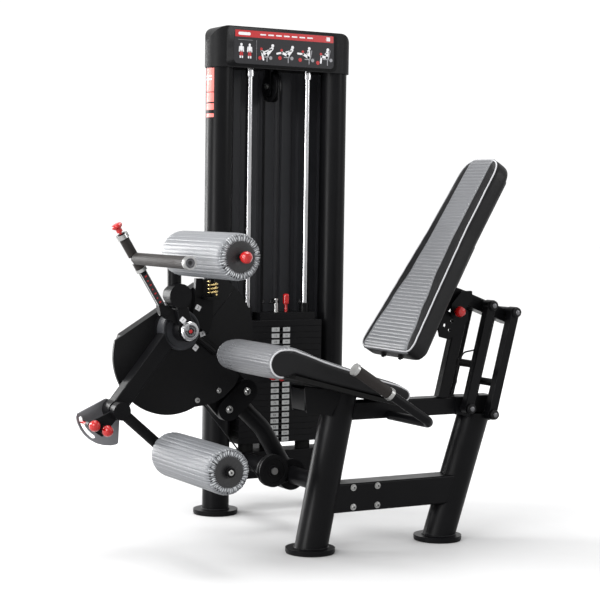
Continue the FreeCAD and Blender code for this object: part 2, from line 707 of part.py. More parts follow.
# Side handles: a sloping run beside the seat, then a bend back to the upper beam.
HANDLE_START = (-8, 572)
HANDLE_CORNER = (256, 405)
HANDLE_BEND = 34
beam_side = float(d.upper_wide) / 2
handle_way = vec(HANDLE_CORNER[0] - HANDLE_START[0], 0, HANDLE_CORNER[1] - HANDLE_START[1]).normalize()
GRIP_LENGTH = 128
handles = []
grips = []
caps = []
for side in (-1, 1):
    y = side * float(d.handle_y)
    start = vec(HANDLE_START[0], y, HANDLE_START[1])
    corner = vec(HANDLE_CORNER[0], y, HANDLE_CORNER[1])
    end = vec(HANDLE_CORNER[0], side * beam_side, HANDLE_CORNER[1])
    handles.append(bent_tube("handle", d.handle_dia / 2, d.handle_dia / 2 - 2.5,
                             [tuple(start), tuple(corner), tuple(end)], HANDLE_BEND))
    grips.append(ring(17, d.handle_dia / 2, GRIP_LENGTH, tuple(start), tuple(handle_way)))
    cap_start = start - handle_way * 9
    caps.append(rod(19, 9, tuple(cap_start), tuple(handle_way)))
    caps.append(ring(19, d.handle_dia / 2, 12, tuple(start + handle_way * GRIP_LENGTH), tuple(handle_way)))
part(group(*handles), "side_handles")
part(group(*grips), "side_grips")
part(group(*caps), "side_grip_caps")

# ---- Link between the seat frame and the tower ----

LINK_X = 127
LINK_Z = 176
TUBE_R = 28
tower_front = d.tower_y - BEAM_DEPTH / 2
cross_start = d.beam_wide / 2
cross = rod(TUBE_R, tower_front - cross_start, (LINK_X, cross_start, LINK_Z), TO_TOWER)
part(cut(cross, rod(TUBE_R - d.tube_wall, 600, (LINK_X, cross_start + 10, LINK_Z), TO_TOWER),
         rod(4.5, 60, (LINK_X - 50, 328, 162), REARWARD)), "cross_tube")

ARM_Y = 372
drum = ring(50, TUBE_R, 62, (LINK_X, 342, LINK_Z), TO_TOWER)
arm_path = [(-82, ARM_Y, 436), (30, ARM_Y, 330), (LINK_X, ARM_Y, LINK_Z)]
arm = cut(bent_tube("arm_tube", 28, 0, arm_path, 120), rod(49, 80, (LINK_X, 335, LINK_Z), TO_TOWER))
ear_outline = [(base_pulley[0] - 18, base_pulley[2] - 14), (LINK_X - 30, LINK_Z - 30), (LINK_X - 20, LINK_Z + 32),
               (base_pulley[0] - 8, base_pulley[2] + 20)]
ear = cut(side_plate(ear_outline, 6, 348, 8), rod(48, 80, (LINK_X, 335, LINK_Z), TO_TOWER),
          rod(6, 40, (base_pulley[0], 320, base_pulley[2]), TO_TOWER))
part(fuse(drum, arm, ear), "drive_arm")

# ---- Drive unit ----

LOBES = [(-44, 453), (-106, 398)]  # bolted ends of the bracket, (x, z)
LOBE_R = 37
SCREWS = [(-229, 435), (-155, 462)]
FRONT_PLATE_Y = 294
PLATE_THICK = 14


def disc(radius, thickness, x, z, y_near):
    return rod(radius, thickness, (x, y_near, z), TO_TOWER)


HUB_R = 26
FLANGE_R = 62
flange = disc(FLANGE_R, d.cover_y - FRONT_PLATE_Y, d.pivot_x, d.pivot_z, FRONT_PLATE_Y)

# The bracket runs from the main pivot, between the covers, to two lobes that show below them.
LOBE_Y = 334
REAR_PLATE_Y = 350
REAR_PLATE = 12
arm_outline = [(-346, 607), (-141, 380), (-81, 375), (-21, 435), (-41, 485), (-268, 712)]
lobe_outline = [(-19.5, 425.3), (-81.5, 370.3), (-130.5, 425.7), (-68.5, 480.7)]
lobe_deep = REAR_PLATE_Y + REAR_PLATE - LOBE_Y
arm_plate = side_plate(arm_outline, REAR_PLATE, REAR_PLATE_Y + REAR_PLATE, 10)
pivot_disc = disc(FLANGE_R, REAR_PLATE, d.pivot_x, d.pivot_z, REAR_PLATE_Y)
lobes = [disc(LOBE_R, lobe_deep, x, z, LOBE_Y) for x, z in LOBES]
lobe_web = side_plate(lobe_outline, lobe_deep, LOBE_Y + lobe_deep)
rear_bracket = cut(fuse(arm_plate, pivot_disc, lobe_web, *lobes),
                   disc(d.axle_dia / 2, 60, d.pivot_x, d.pivot_z, REAR_PLATE_Y - 20))
bolts += [bolt(x, z, LOBE_Y, 9, 8) for x, z in LOBES]
bolts += [bolt(x, z, d.cover_y, 5, 5) for x, z in SCREWS]
arm_space = bent_tube("arm_space", 28, 0, arm_path, 120)
SPRING = (-200, 274)             # buffer spring axis, (x, y)
SPRING_LOW = 760
SPRING_RISE = 46
post_outline = [(-262, 680), (-200, 640), (-186, 690), (-186, 758), (-222, 758), (-222, 812), (-246, 812), (-250, 730)]
post = side_plate(post_outline, PLATE_THICK, FRONT_PLATE_Y + PLATE_THICK)
shelf = block((44, 54, 8), (SPRING[0] - 26, SPRING[1] - 19, SPRING_LOW - 12))
top_cap = rod(17, 5, (SPRING[0], SPRING[1], SPRING_LOW + SPRING_RISE + 4))
centre_pin = rod(7, SPRING_RISE + 14, (SPRING[0], SPRING[1], SPRING_LOW - 6))
buffer_stand = cut(fuse(flange, post, shelf, top_cap, centre_pin), disc(HUB_R + 3, 60, d.pivot_x, d.pivot_z, 285))
part(group(buffer_stand, cut(rear_bracket, arm_space)), "drive_bracket")

cap_profile = [(0, 0), (d.axle_dia / 2, 0), (d.axle_dia / 2, 172), (29, 172), (29, 184), (26, 188), (0, 188)]
part(turned("main_shaft", cap_profile, facing((d.pivot_x, 370, d.pivot_z), TO_USER)), "main_axle")

COVER_LOW = (-323, 581)
COVER_HIGH = (-225, 641)
FLAT = 134                       # distance from the cover's long axis to its flat upper edge
cover_way = vec(COVER_HIGH[0] - COVER_LOW[0], COVER_HIGH[1] - COVER_LOW[1], 0).normalize()
cover_up = Vector(-cover_way.y, cover_way.x, 0)


def cover_form(inset, flat_inset, y_near, deep):
    """The drive cover outline: two round ends, a straight belly and a flat upper edge."""
    radius = d.cover_round - inset
    ends = [disc(radius, deep, x, z, y_near) for x, z in (COVER_LOW, COVER_HIGH)]
    low = vec(COVER_LOW[0], COVER_LOW[1], 0)
    high = vec(COVER_HIGH[0], COVER_HIGH[1], 0)
    reach = float(radius)
    quad = [low - cover_up * reach, high - cover_up * reach, high + cover_up * reach, low + cover_up * reach]
    belly = side_plate([(p.x, p.y) for p in quad], deep, y_near + deep)
    top = FLAT - flat_inset
    far = [low - cover_way * 400 + cover_up * top, high + cover_way * 400 + cover_up * top,
           high + cover_way * 400 + cover_up * 500, low - cover_way * 400 + cover_up * 500]
    lid = side_plate([(p.x, p.y) for p in far], 200, y_near + 150)
    return cut(fuse(belly, *ends), lid)


SEAM = [(-98, 786), (-221, 644), (-173, 606), (-60, 508)]


def seam_region(shift):
    """The region to the right of the seam, moved by shift to leave the joint gap."""
    line = [(SEAM[0][0] + 60, SEAM[0][1] + 69)] + SEAM + [(60, 404)]
    outline = [(x + shift, z) for x, z in line] + [(400, 404), (400, 1000), (60, 1000)]
    return side_plate(outline, 300, 500)


RIM = 10                         # depth of the cover's wide front rim
STEP_IN = 17                     # how far the deeper part is drawn in behind the rim
EARS = [(-245, 414), (-205, 418), (-172, 424), (-138, 441), (-101, 473), (-84, 506), (-150, 570), (-270, 520)]


def front_shell():
    """Front cover: a wide shallow rim, a narrower deep part, and an apron that takes the screws."""
    wall = d.shell_wall
    outer = fuse(cover_form(0, 0, d.cover_y, RIM), cover_form(STEP_IN, 0, d.cover_y, d.cover_deep))
    inner = fuse(cover_form(wall, wall, d.cover_y + wall, RIM - 2 * wall),
                 cover_form(STEP_IN + wall, wall, d.cover_y + wall, d.cover_deep))
    apron = side_plate(EARS, 5, d.cover_y + 5)
    hub_hole = disc(HUB_R + 5, 60, d.pivot_x, d.pivot_z, 290)
    return cut(fuse(cut(outer, inner), apron), hub_hole)


# The lifting cable runs straight from the cam to the base pulley in the plane of its groove.
CABLE_Y = 328
GROOVE_R = d.cam_dia / 2 - 3.5
pulley_groove = d.pulley_dia / 2 - GROOVE
cable_span = vec(base_pulley[0], base_pulley[2], 0) - vec(d.pivot_x, d.pivot_z, 0)
tangent = (math.atan2(cable_span.y, cable_span.x)
           - math.acos((float(GROOVE_R) - float(pulley_groove)) / cable_span.Length))


def on_circle(centre, radius, angle):
    return vec(centre[0] + radius * math.cos(angle), CABLE_Y, centre[1] + radius * math.sin(angle))


cable_start = on_circle((float(d.pivot_x), float(d.pivot_z)), float(GROOVE_R), tangent)
cable_low = on_circle((base_pulley[0], base_pulley[2]), float(pulley_groove), tangent)
cable_space = rod(6, 360, tuple(cable_start), tuple(cable_low - cable_start))
part(cut(common(front_shell(), seam_region(1.5)), cable_space), "cover_right")
part(cut(cut(front_shell(), seam_region(0)), cable_space), "cover_left")
REAR_INSET = 32
rear_outer = cover_form(REAR_INSET, 8, 364, 18)
rear_inner = cover_form(REAR_INSET + d.shell_wall, 8 + d.shell_wall, 360, 19)
part(cut(rear_outer, rear_inner, disc(30, 60, d.pivot_x, d.pivot_z, 366), arm_space), "cover_rear")

# ---- Leg lever ----

WHEEL_Y = 246
WHEEL_THICK = 46
LEVER_Y = 236                    # near face of the lever tube
lever_top = vec(-351, 0, 645)
hub = vec(d.hub_x, 0, d.hub_z)
lever_mid_y = LEVER_Y + d.lever_size / 2
lever_way = (lever_top - hub).normalize()
running = d.axle_dia / 2 + d.axle_gap
wheel_rim = d.wheel_dia / 2
wheel_profile = [(running, 0), (28, 0), (28, 3), (wheel_rim - 12, 3), (wheel_rim - 8, 0), (wheel_rim - 3, 0),
                 (wheel_rim, 3), (wheel_rim, WHEEL_THICK - 3), (wheel_rim - 3, WHEEL_THICK), (running, WHEEL_THICK)]
part(turned("wheel", wheel_profile, facing((d.pivot_x, WHEEL_Y, d.pivot_z), TO_TOWER)), "lever_wheel")

lever_length = (lever_top - hub).Length
lever_tube = beam("lever_tube", d.lever_size, d.lever_size, d.tube_wall, lever_length,
                  facing((d.hub_x, lever_mid_y, d.hub_z), tuple(lever_way), (0, 1, 0)), 4)
LEVER_PIN = 13.0
lever_end = disc(29, d.lever_size + 4, d.hub_x, d.hub_z, LEVER_Y - 1)
lever_bar = cut(lever_tube, disc(wheel_rim, 80, d.pivot_x, d.pivot_z, 230))
lever = cut(fuse(lever_bar, lever_end), disc(LEVER_PIN, 200, d.hub_x, d.hub_z, 180))
part(lever, "leg_lever")

CAM_Y = 318
cam_mid = d.cam_dia / 2
cam_profile = [(running, 0), (cam_mid, 0), (cam_mid, 4), (cam_mid - 8, 10), (cam_mid, 16), (cam_mid, 20),
               (running, 20)]
cam_sleeve = ring(HUB_R, running, CAM_Y - WHEEL_Y - WHEEL_THICK, (d.pivot_x, WHEEL_Y + WHEEL_THICK, d.pivot_z),
                  TO_TOWER)
cam_wheel = turned("cam", cam_profile, facing((d.pivot_x, CAM_Y, d.pivot_z), TO_TOWER))
part(fuse(cam_sleeve, cam_wheel), "drive_cam")


def around_hub(radius, degrees):
    angle = math.radians(degrees)
    return (float(d.hub_x) + radius * math.cos(angle), float(d.hub_z) + radius * math.sin(angle))


def arc_slot(centre, radius, half_wide, low, high, y_near, deep):
    """The space of a curved slot about a centre in the side view, from low to high degrees."""
    def at(reach, degrees):
        angle = math.radians(degrees)
        return (float(centre[0]) + reach * math.cos(angle), float(centre[1]) + reach * math.sin(angle))

    middle = (low + high) / 2
    corners = [centre, at(2 * radius, low), at(2.4 * radius, middle), at(2 * radius, high)]
    wedge = side_plate(corners, deep, y_near + deep)
    band = cut(disc(radius + half_wide, deep, centre[0], centre[1], y_near),
               disc(radius - half_wide, deep, centre[0], centre[1], y_near))
    ends = [disc(half_wide, deep, *at(radius, degrees), y_near) for degrees in (low, high)]
    return fuse(common(band, wedge), *ends)


KNOB_ANGLES = (226, 201.5)
KNOB_RADII = (74, 99)
SLOT_BACK = 7                    # degrees that each index slot runs before its pin
SLOT_ON = 35                     # and past it, towards the bottom of the plate
SECTOR_R = 112
sector_outline = [around_hub(34, 110)] + [around_hub(SECTOR_R, 187 + step * 12) for step in range(9)]
sector_outline += [around_hub(34, 330)]
sector_y = LEVER_Y + d.lever_size + 4
slots = [arc_slot((d.hub_x, d.hub_z), radius, 5.2, angle - SLOT_BACK, angle + SLOT_ON, sector_y - 4, 16)
         for radius, angle in zip(KNOB_RADII, KNOB_ANGLES)]
sector = cut(side_plate(sector_outline, 8, sector_y + 8, 9), disc(LEVER_PIN, 200, d.hub_x, d.hub_z, 180), *slots)
part(sector, "sector_plate")

# ---- Roller arm, hinged at the lower hub ----

ARM_NEAR = 200
ARM_DEEP = 34
arm_mid_y = ARM_NEAR + ARM_DEEP / 2
hub_pin = fuse(disc(LEVER_PIN - 0.1, 90 - ARM_DEEP + 12, d.hub_x, d.hub_z, ARM_NEAR + ARM_DEEP - 2),
               disc(20, 5, d.hub_x, d.hub_z, 298))
arm_hub = disc(27, ARM_DEEP, d.hub_x, d.hub_z, ARM_NEAR)
roller_way = vec(d.low_roller_x, 0, d.low_roller_z) - vec(d.hub_x, 0, d.hub_z)
ARM_R = 16.5
roller_bar = rod(ARM_R, roller_way.Length, (d.hub_x, arm_mid_y, d.hub_z), tuple(roller_way))
AXLE_R = 10.0
roller_half = d.roller_length / 2
roller_end = disc(20, ARM_DEEP - 1, d.low_roller_x, d.low_roller_z, ARM_NEAR + 0.5)
low_axle = fuse(disc(AXLE_R, roller_half + ARM_NEAR + 6, d.low_roller_x, d.low_roller_z, 0 - roller_half - 5),
                disc(14, 6, d.low_roller_x, d.low_roller_z, 0 - roller_half - 11))
barrels = []
for radius, angle in zip(KNOB_RADII, KNOB_ANGLES):
    x, z = around_hub(radius, angle)
    barrels.append(disc(12, ARM_DEEP - 10, x, z, ARM_NEAR + 10))
index_plate = side_plate([around_hub(15, 170), around_hub(114, 199), around_hub(92, 235), around_hub(15, 280)],
                         8, ARM_NEAR + ARM_DEEP, 4)
plunger_bores = []
for radius, angle in zip(KNOB_RADII, KNOB_ANGLES):
    x, z = around_hub(radius, angle)
    plunger_bores.append(disc(4.6, 80, x, z, ARM_NEAR))
roller_arm = cut(fuse(arm_hub, roller_bar, roller_end, low_axle, hub_pin, index_plate, *barrels), *plunger_bores)
part(roller_arm, "roller_arm")


def foam_roller(label, x, z):
    """A foam tube with softly rounded ends, bored for its axle."""
    big = d.roller_dia / 2 - 3
    bore = AXLE_R + 0.1
    half = float(roller_half)
    profile = [(bore, 0), (big - 22, 0), (big - 8, 5), (big, 18), (big, 2 * half - 24), (big - 8, 2 * half - 8),
               (big - 24, 2 * half), (bore, 2 * half)]
    return part(turned("foam", profile, facing((x, 0 - roller_half, z), TO_TOWER)), label)


foam_roller("lower_roller", d.low_roller_x, d.low_roller_z)


def pull_knob(label, x, z, y_near, pin_length):
    """A round red knob on a plunger: the pin points away from the user."""
    r = d.knob_dia / 2
    profile = [(0, 0), (5, 0), (9, 1.5), (13, 5), (r - 1.5, 10), (r, r - 1), (r - 1.5, 24), (11, 30), (7, 33),
               (7, 38), (4.5, 38), (4.5, pin_length), (0, pin_length)]
    return part(turned("knob", profile, facing((x, y_near, z), TO_TOWER)), label)


for label, radius, angle in zip(("index_knob_near", "index_knob_far"), KNOB_RADII, KNOB_ANGLES):
    x, z = around_hub(radius, angle)
    pull_knob(label, x, z, ARM_NEAR + 10 - 38, 38 + 25 + 60)

# ---- Hold-down arm, hinged on the main axle ----

RING_Y = 200
RING_DEEP = 43
arm_line = vec(d.upper_hub_x, 0, d.upper_hub_z) - vec(d.pivot_x, 0, d.pivot_z)
arm_unit = vec(*arm_line).normalize()
ring_hub = disc(33, RING_DEEP, d.pivot_x, d.pivot_z, RING_Y)
CARRY_Y = 214                    # near face of the roller carriage drum
CARRY_DEEP = 48
arm_start = vec(d.pivot_x, 0, d.pivot_z)
hold_bar = beam("hold_bar", 34, 40, d.tube_wall, 67,
                facing((d.pivot_x, RING_Y + 17, d.pivot_z), tuple(arm_unit), (0, 1, 0)), 4)


def strap(y_near, thickness, half, reach_from, foot_half):
    """A fork strap that carries the upper hub pin and narrows towards its foot."""
    side = vec(-arm_unit.z, 0, arm_unit.x)
    low = arm_start + arm_unit * reach_from
    high = vec(d.upper_hub_x, 0, d.upper_hub_z)
    quad = [low - side * foot_half, high - side * half, high + side * half, low + side * foot_half]
    return fuse(side_plate([(p.x, p.z) for p in quad], thickness, y_near + thickness),
                disc(half, thickness, d.upper_hub_x, d.upper_hub_z, y_near))


near_strap = strap(CARRY_Y - 14, 13, 15, 34, 15)
far_strap = strap(CARRY_Y + CARRY_DEEP + 1, 8, 22, 66, 12)
across = vec(-arm_unit.z, 0, arm_unit.x) * 12
corners = [arm_start + arm_unit * reach + across * sign for reach, sign in ((64.5, 1), (64.5, -1), (72, -1), (72, 1))]
fork_back = side_plate([(p.x, p.z) for p in corners], 70, CARRY_Y + CARRY_DEEP + 9)
near_cap = disc(36, 21, d.upper_hub_x, d.upper_hub_z, CARRY_Y - 22)
HUB_PIN = 12.0
upper_pin = disc(HUB_PIN - 0.08, CARRY_DEEP + 10, d.upper_hub_x, d.upper_hub_z, CARRY_Y - 4)

BAR_Y = 222
bar_low = vec(-385, 0, 719)
bar_way = vec(-145, 0, 234).normalize()
BAR_LENGTH = 141
GRIP_TOP = 254                   # end of the inclined grip, measured from the bar's lower end
CROSS_AT = 184                   # where the cross handle leaves the inclined handle
CROSS_NEAR = -146
stay = side_plate([(-402, 706), (-352, 682), (-330, 676), (-326, 706), (-366, 729), (-390, 736)], 12, BAR_Y + 6)
bar_lug = side_plate([(-402, 710), (-380, 703), (-369, 717), (-395, 742), (-408, 736)], 22, BAR_Y + 11, 2)
tube_low = bar_low + bar_way * (BAR_LENGTH - 12)
inclined = rod(11, GRIP_TOP - BAR_LENGTH + 28, (tube_low.x, BAR_Y, tube_low.z), tuple(bar_way))
cross_at = bar_low + bar_way * CROSS_AT
cross_bar = rod(13, BAR_Y - CROSS_NEAR, (cross_at.x, CROSS_NEAR, cross_at.z), TO_TOWER)
hold_frame = fuse(ring_hub, cut(hold_bar, disc(running, 60, d.pivot_x, d.pivot_z, 195)), near_strap, far_strap,
                  fork_back, near_cap, upper_pin, stay, bar_lug, inclined, cross_bar)
bore_low = tube_low + bar_way * 100
button_bore = rod(5.1, 60, (bore_low.x, BAR_Y, bore_low.z), tuple(bar_way))
hold_cut = cut(hold_frame, disc(running, 80, d.pivot_x, d.pivot_z, 190), button_bore)
part(hold_cut, "hold_down_arm")

bar_place = facing((bar_low.x, BAR_Y, bar_low.z), tuple(bar_way), (-bar_way.z, 0, bar_way.x))
bar_body = beam("bar_form", 22, 12, 2, BAR_LENGTH, bar_place, 2)
part(cut(bar_body, bar_lug, stay, inclined), "scale_bar")


def along_bar(distance):
    point = bar_low + bar_way * distance
    return (point.x, BAR_Y, point.z)


inclined_grip = cut(ring(15, 11, GRIP_TOP - BAR_LENGTH - 10, along_bar(BAR_LENGTH + 10), tuple(bar_way)),
                    rod(18, 60, (cross_at.x, 200, cross_at.z), TO_TOWER))
cross_grip = ring(18, 13, BAR_Y - 17 - CROSS_NEAR - 6, (cross_at.x, CROSS_NEAR + 6, cross_at.z), TO_TOWER)
part(group(inclined_grip, cross_grip), "hand_grips")
grip_rings = [ring(17, 11, 10, along_bar(BAR_LENGTH), tuple(bar_way)),
              ring(18.5, 11, 14, along_bar(GRIP_TOP), tuple(bar_way)),
              rod(19, 6, (cross_at.x, CROSS_NEAR - 6, cross_at.z), TO_TOWER),
              ring(20, 13, 6, (cross_at.x, CROSS_NEAR, cross_at.z), TO_TOWER)]
part(group(*grip_rings), "grip_collars")
button_profile = [(0, 0), (5, 0), (5, 24), (9, 24), (9.5, 36), (14, 38), (17, 42), (17, 46), (14, 49.5), (8, 51),
                  (0, 51)]
BUTTON_LOW = GRIP_TOP - 2
part(turned("push_button", button_profile, facing(along_bar(BUTTON_LOW), tuple(bar_way))), "handle_button")

# ---- Roller carriage, hinged at the upper hub ----

STEM_R = 21
carry_mid = CARRY_Y + CARRY_DEEP / 2
drum_top = fuse(disc(35, 28, d.upper_hub_x, d.upper_hub_z, CARRY_Y),
                disc(28, CARRY_DEEP, d.upper_hub_x, d.upper_hub_z, CARRY_Y))
stem_line = vec(d.top_roller_x, 0, d.top_roller_z) - vec(d.upper_hub_x, 0, d.upper_hub_z)
stem_rod = rod(STEM_R, stem_line.Length, (d.upper_hub_x, carry_mid, d.upper_hub_z), tuple(stem_line))
elbow = disc(26, CARRY_DEEP, d.top_roller_x, d.top_roller_z, CARRY_Y)
top_axle = disc(AXLE_R, roller_half + CARRY_Y + 10, d.top_roller_x, d.top_roller_z, 0 - roller_half - 6)
knob_bore = disc(5.1, 60, d.top_roller_x, d.top_roller_z, 0 - roller_half - 10)
part(cut(fuse(drum_top, stem_rod, elbow, top_axle), disc(HUB_PIN, 200, d.upper_hub_x, d.upper_hub_z, 150), knob_bore),
     "roller_carriage")
foam_roller("top_roller", d.top_roller_x, d.top_roller_z)
knob_r = d.knob_dia / 2
top_knob_profile = [(0, 0), (6, 0), (11, 2), (knob_r - 1, 8), (knob_r, 16), (knob_r - 1.5, 24), (11, 30), (8, 33),
                    (8, 40), (5, 40), (5, 70), (0, 70)]
part(turned("release_knob", top_knob_profile,
            facing((d.top_roller_x, 0 - roller_half - 48, d.top_roller_z), TO_TOWER)), "top_roller_knob")

# ---- Buffer spring of the hold-down arm ----

SPRING_R = 14.5
WIRE_R = 3.2
SPRING_TURNS = 4


def coil(label):
    """Round wire wound on a cylinder, with its ends resting on the two caps."""
    helix = Part.makeHelix(SPRING_RISE / SPRING_TURNS, SPRING_RISE - 2 * WIRE_R + 1.5, SPRING_R)
    loop = Part.Wire(Part.Circle(Vector(SPRING_R, 0, 0), Vector(0, 1, 0), WIRE_R).toShape())
    shape = Part.Wire(helix.Edges).makePipeShell([loop], True, True)
    obj = doc.addObject("Part::Feature", label)
    obj.Shape = shape
    obj.Placement = Placement(vec(SPRING[0], SPRING[1], SPRING_LOW + WIRE_R - 0.6), Rotation())
    return obj


part(coil("coil"), "buffer_spring")

# ---- Backrest linkage ----


def link(bottom, top, y_middle):
    """A square link tube with a boss at each end, bored for its two pins."""
    low = vec(bottom[0], y_middle, bottom[1])
    high = vec(top[0], y_middle, top[1])
    way = high - low
    bar = beam("link_tube", d.link_size, d.link_size, 2.5, way.Length, facing(tuple(low), tuple(way), (0, 1, 0)), 3)
    half = d.link_size / 2
    bosses = [disc(BOSS_R, d.link_size, x, z, y_middle - half) for x, z in (bottom, top)]
    bores = [disc(PIN_R + d.axle_gap, 60, x, z, y_middle - 30) for x, z in (bottom, top)]
    return cut(fuse(bar, *bosses), *bores)


def between(bottom, top, share):
    return (bottom[0] + (top[0] - bottom[0]) * share, bottom[1] + (top[1] - bottom[1]) * share)


def link_pair(bottom, top, share, size):
    """Both side links of one hinge line, joined by a cross tube."""
    inner = d.link_y - d.link_size / 2
    mid = between(bottom, top, share)
    brace = disc(size, 2 * inner, mid[0], mid[1], 0 - inner)
    return fuse(link(bottom, top, d.link_y), link(bottom, top, 0 - d.link_y), brace)


part(link_pair(LINK_FRONT, TOP_FRONT, 0.42, 12), "front_links")
part(link_pair(LINK_REAR, TOP_REAR, 0.30, 12), "rear_links")

REST_BOTTOM = vec(245, 0, 603)   # lower front edge of the back pad
rest_up = vec(0.523, 0, 0.852).normalize()
rest_back = vec(rest_up.z, 0, -rest_up.x)
BOARD_THICK = 12
CARRIER = [(494, 772), (716, 690)]
CARRIER_WIDE = 60
carrier_way = vec(CARRIER[1][0] - CARRIER[0][0], 0, CARRIER[1][1] - CARRIER[0][1])
carrier_tube = beam("carrier_tube", CARRIER_WIDE, 40, 3, carrier_way.Length,
                    facing((CARRIER[0][0], 0, CARRIER[0][1]), tuple(carrier_way), (0, 1, 0)), 5)
link_face = d.link_y - d.link_size / 2
upper_pins = []
for (x, z), open_gap in ((TOP_FRONT, 0.0), (TOP_REAR, 0.9)):
    upper_pins.append(disc(PIN_R - open_gap, 160, x, z, -80))
    upper_pins.append(disc(15, 2 * link_face - 2, x, z, 1 - link_face))
    upper_pins += [disc(12, 5, x, z, y) for y in (-83, 78)]


def rest_point(up, back):
    point = REST_BOTTOM + rest_up * up + rest_back * back
    return (point.x, point.z)


pad_back = float(d.rest_thick) + BOARD_THICK
spine_outline = [rest_point(120, pad_back), rest_point(430, pad_back), rest_point(430, pad_back + 26),
                 rest_point(290, pad_back + 34), (536, 778), (524, 746), (494, 748), rest_point(120, pad_back + 20)]
half_tube = CARRIER_WIDE / 2
spines = [side_plate(spine_outline, 6, y) for y in (half_tube + 6, 0 - half_tube)]
flange = side_plate([rest_point(120, pad_back), rest_point(430, pad_back), rest_point(430, pad_back + 6),
                     rest_point(120, pad_back + 6)], CARRIER_WIDE + 12, half_tube + 6)
KNOB_POINT = (478, 719)
EAR_Y = -54
ear_outline = [(460, 706), (478, 697), (496, 706), (538, 754), (538, 782), (500, 782), (462, 742)]
knob_ear = side_plate(ear_outline, 6, EAR_Y + 6, 4, [(KNOB_POINT, 4.6)])
ear_tie = block((30, 24, 24), (505, EAR_Y + 2, 754))
part(fuse(*([carrier_tube, flange, knob_ear, ear_tie] + upper_pins + spines)), "backrest_carrier")


def rest_panel(label, sides, thick, back, corner):
    """A panel in the backrest plane, thick towards the back: sides are (half width, height)."""
    base = REST_BOTTOM + rest_back * back
    body = new_body(label, Placement(base, Rotation(TO_TOWER, rest_up, rest_back, "ZXY")))
    sketch = new_sketch(body)
    draw_polygon(sketch, [(half, up) for half, up in sides] + [(-half, up) for half, up in sides[::-1]])
    feature = pad(body, sketch, thick)
    soften(body, feature, corner, lengthwise)
    return body


pad_sides = [(150, 0), (124, 230), (104, 430), (94, d.rest_long)]
part(rest_panel("rest_pad", pad_sides, d.rest_thick, 0, 26), "backrest_cushion")
board_sides = [(116, 24), (92, 230), (74, 430), (66, d.rest_long - 34)]
part(rest_panel("rest_board", board_sides, BOARD_THICK, float(d.rest_thick), 20), "backrest_board")

# ---- Backrest adjuster ----

POST_LOW = (450, 449)
POST_HIGH = (512, 697)
POST_Y = -23
PLATE_Y = -44
post_way = vec(POST_HIGH[0] - POST_LOW[0], 0, POST_HIGH[1] - POST_LOW[1])
post_tube = beam("post_tube", 30, 40, 2.5, post_way.Length, facing((POST_LOW[0], POST_Y, POST_LOW[1]), tuple(post_way),
                                                                  (0, 1, 0)), 4)
post_trim = cut(post_tube, block((120, 80, 60), (400, -60, upper_high - 60)))


# The carrier moves without tilting, so its knob travels on a circle as large as the links' one.
link_span = vec(TOP_FRONT[0] - LINK_FRONT[0], TOP_FRONT[1] - LINK_FRONT[1], 0)
knob_circle = (KNOB_POINT[0] - link_span.x, KNOB_POINT[1] - link_span.y)
knob_rest = math.degrees(math.atan2(link_span.y, link_span.x))
knob_slot = arc_slot(knob_circle, link_span.Length, 5.2, knob_rest - 5.2, knob_rest + 3.2, PLATE_Y - 4, 14)
plate_outline = [(456, 741), (446, 716), (430, 690), (420, 664), (426, 640), (458, 632), (500, 650), (532, 690),
                 (532, 718), (506, 735)]
adjust_plate = side_plate(plate_outline, 6, PLATE_Y + 6, 5, [((444, 676), 5.4), ((462, 660), 5.4), ((470, 688), 5.4)])
part(fuse(post_trim, cut(adjust_plate, knob_slot)), "adjuster_post")
KNOB_LONG = 38                   # knob and its collar, in front of the ear
pull_knob("adjuster_knob", KNOB_POINT[0], KNOB_POINT[1], EAR_Y - 0.3 - KNOB_LONG, KNOB_LONG + 18)

release_route = [(562, -41, 596), (520, -41, 590), (498, -41, 560), (493, -41, 498), (480, -30, 452)]
part(bent_tube("release_line", 2.5, 0, release_route, 22), "release_cable")

# ---- Lifting cable ----

HOLE = vec(LINK_X - 12, CABLE_Y, 162)
middle = vec(base_pulley[0], CABLE_Y, base_pulley[2])
reach = HOLE - middle
leave = math.atan2(reach.z, reach.x) - math.acos(float(pulley_groove) / reach.Length)
cable_off = on_circle((base_pulley[0], base_pulley[2]), float(pulley_groove), leave)
wrap = tangent + 2 * math.pi if tangent < -math.pi else tangent
halfway = on_circle((base_pulley[0], base_pulley[2]), float(pulley_groove), (wrap + leave) / 2)


def cable(edges, start, way):
    """Round cable along a line of edges."""
    loop = Part.Wire(Part.Circle(start, way, float(d.cable_dia) / 2).toShape())
    obj = doc.addObject("Part::Feature", "cable")
    obj.Shape = Part.Wire(edges).makePipeShell([loop], True, False)
    return obj


low_run = cable([Part.LineSegment(cable_start, cable_low).toShape(), Part.Arc(cable_low, halfway, cable_off).toShape(),
                 Part.LineSegment(cable_off, HOLE).toShape()], cable_start, cable_low - cable_start)
rear_foot = vec(d.stack_x, rear_cable_y, 216)
rear_top = vec(d.stack_x, rear_cable_y, d.pulley_z)
over_top = vec(d.stack_x, pulley_y, d.pulley_z + pulley_groove)
front_top = vec(d.stack_x, d.rod_y, d.pulley_z)
high_run = cable([Part.LineSegment(rear_foot, rear_top).toShape(), Part.Arc(rear_top, over_top, front_top).toShape()],
                 rear_foot, UP)
part(group(low_run, high_run), "drive_cable")

part(group(*(bolts + [tail_pin] + hinge_pins + [top_shaft, base_shaft])), "frame_fasteners")

# ---- Check and write ----

doc.recompute()
for obj in doc.Objects:
    if "Invalid" in obj.State or "Error" in obj.State:
        raise RuntimeError("object failed: %s" % obj.Label)
for obj in PARTS:
    if obj.Shape.isNull() or not obj.Shape.isValid():
        raise RuntimeError("bad shape: %s" % obj.Label)
os.makedirs("parts", exist_ok=True)
for obj in PARTS:
    obj.Shape.exportStep("parts/%s.step" % obj.Label)
print("%d sub-parts written" % len(PARTS))
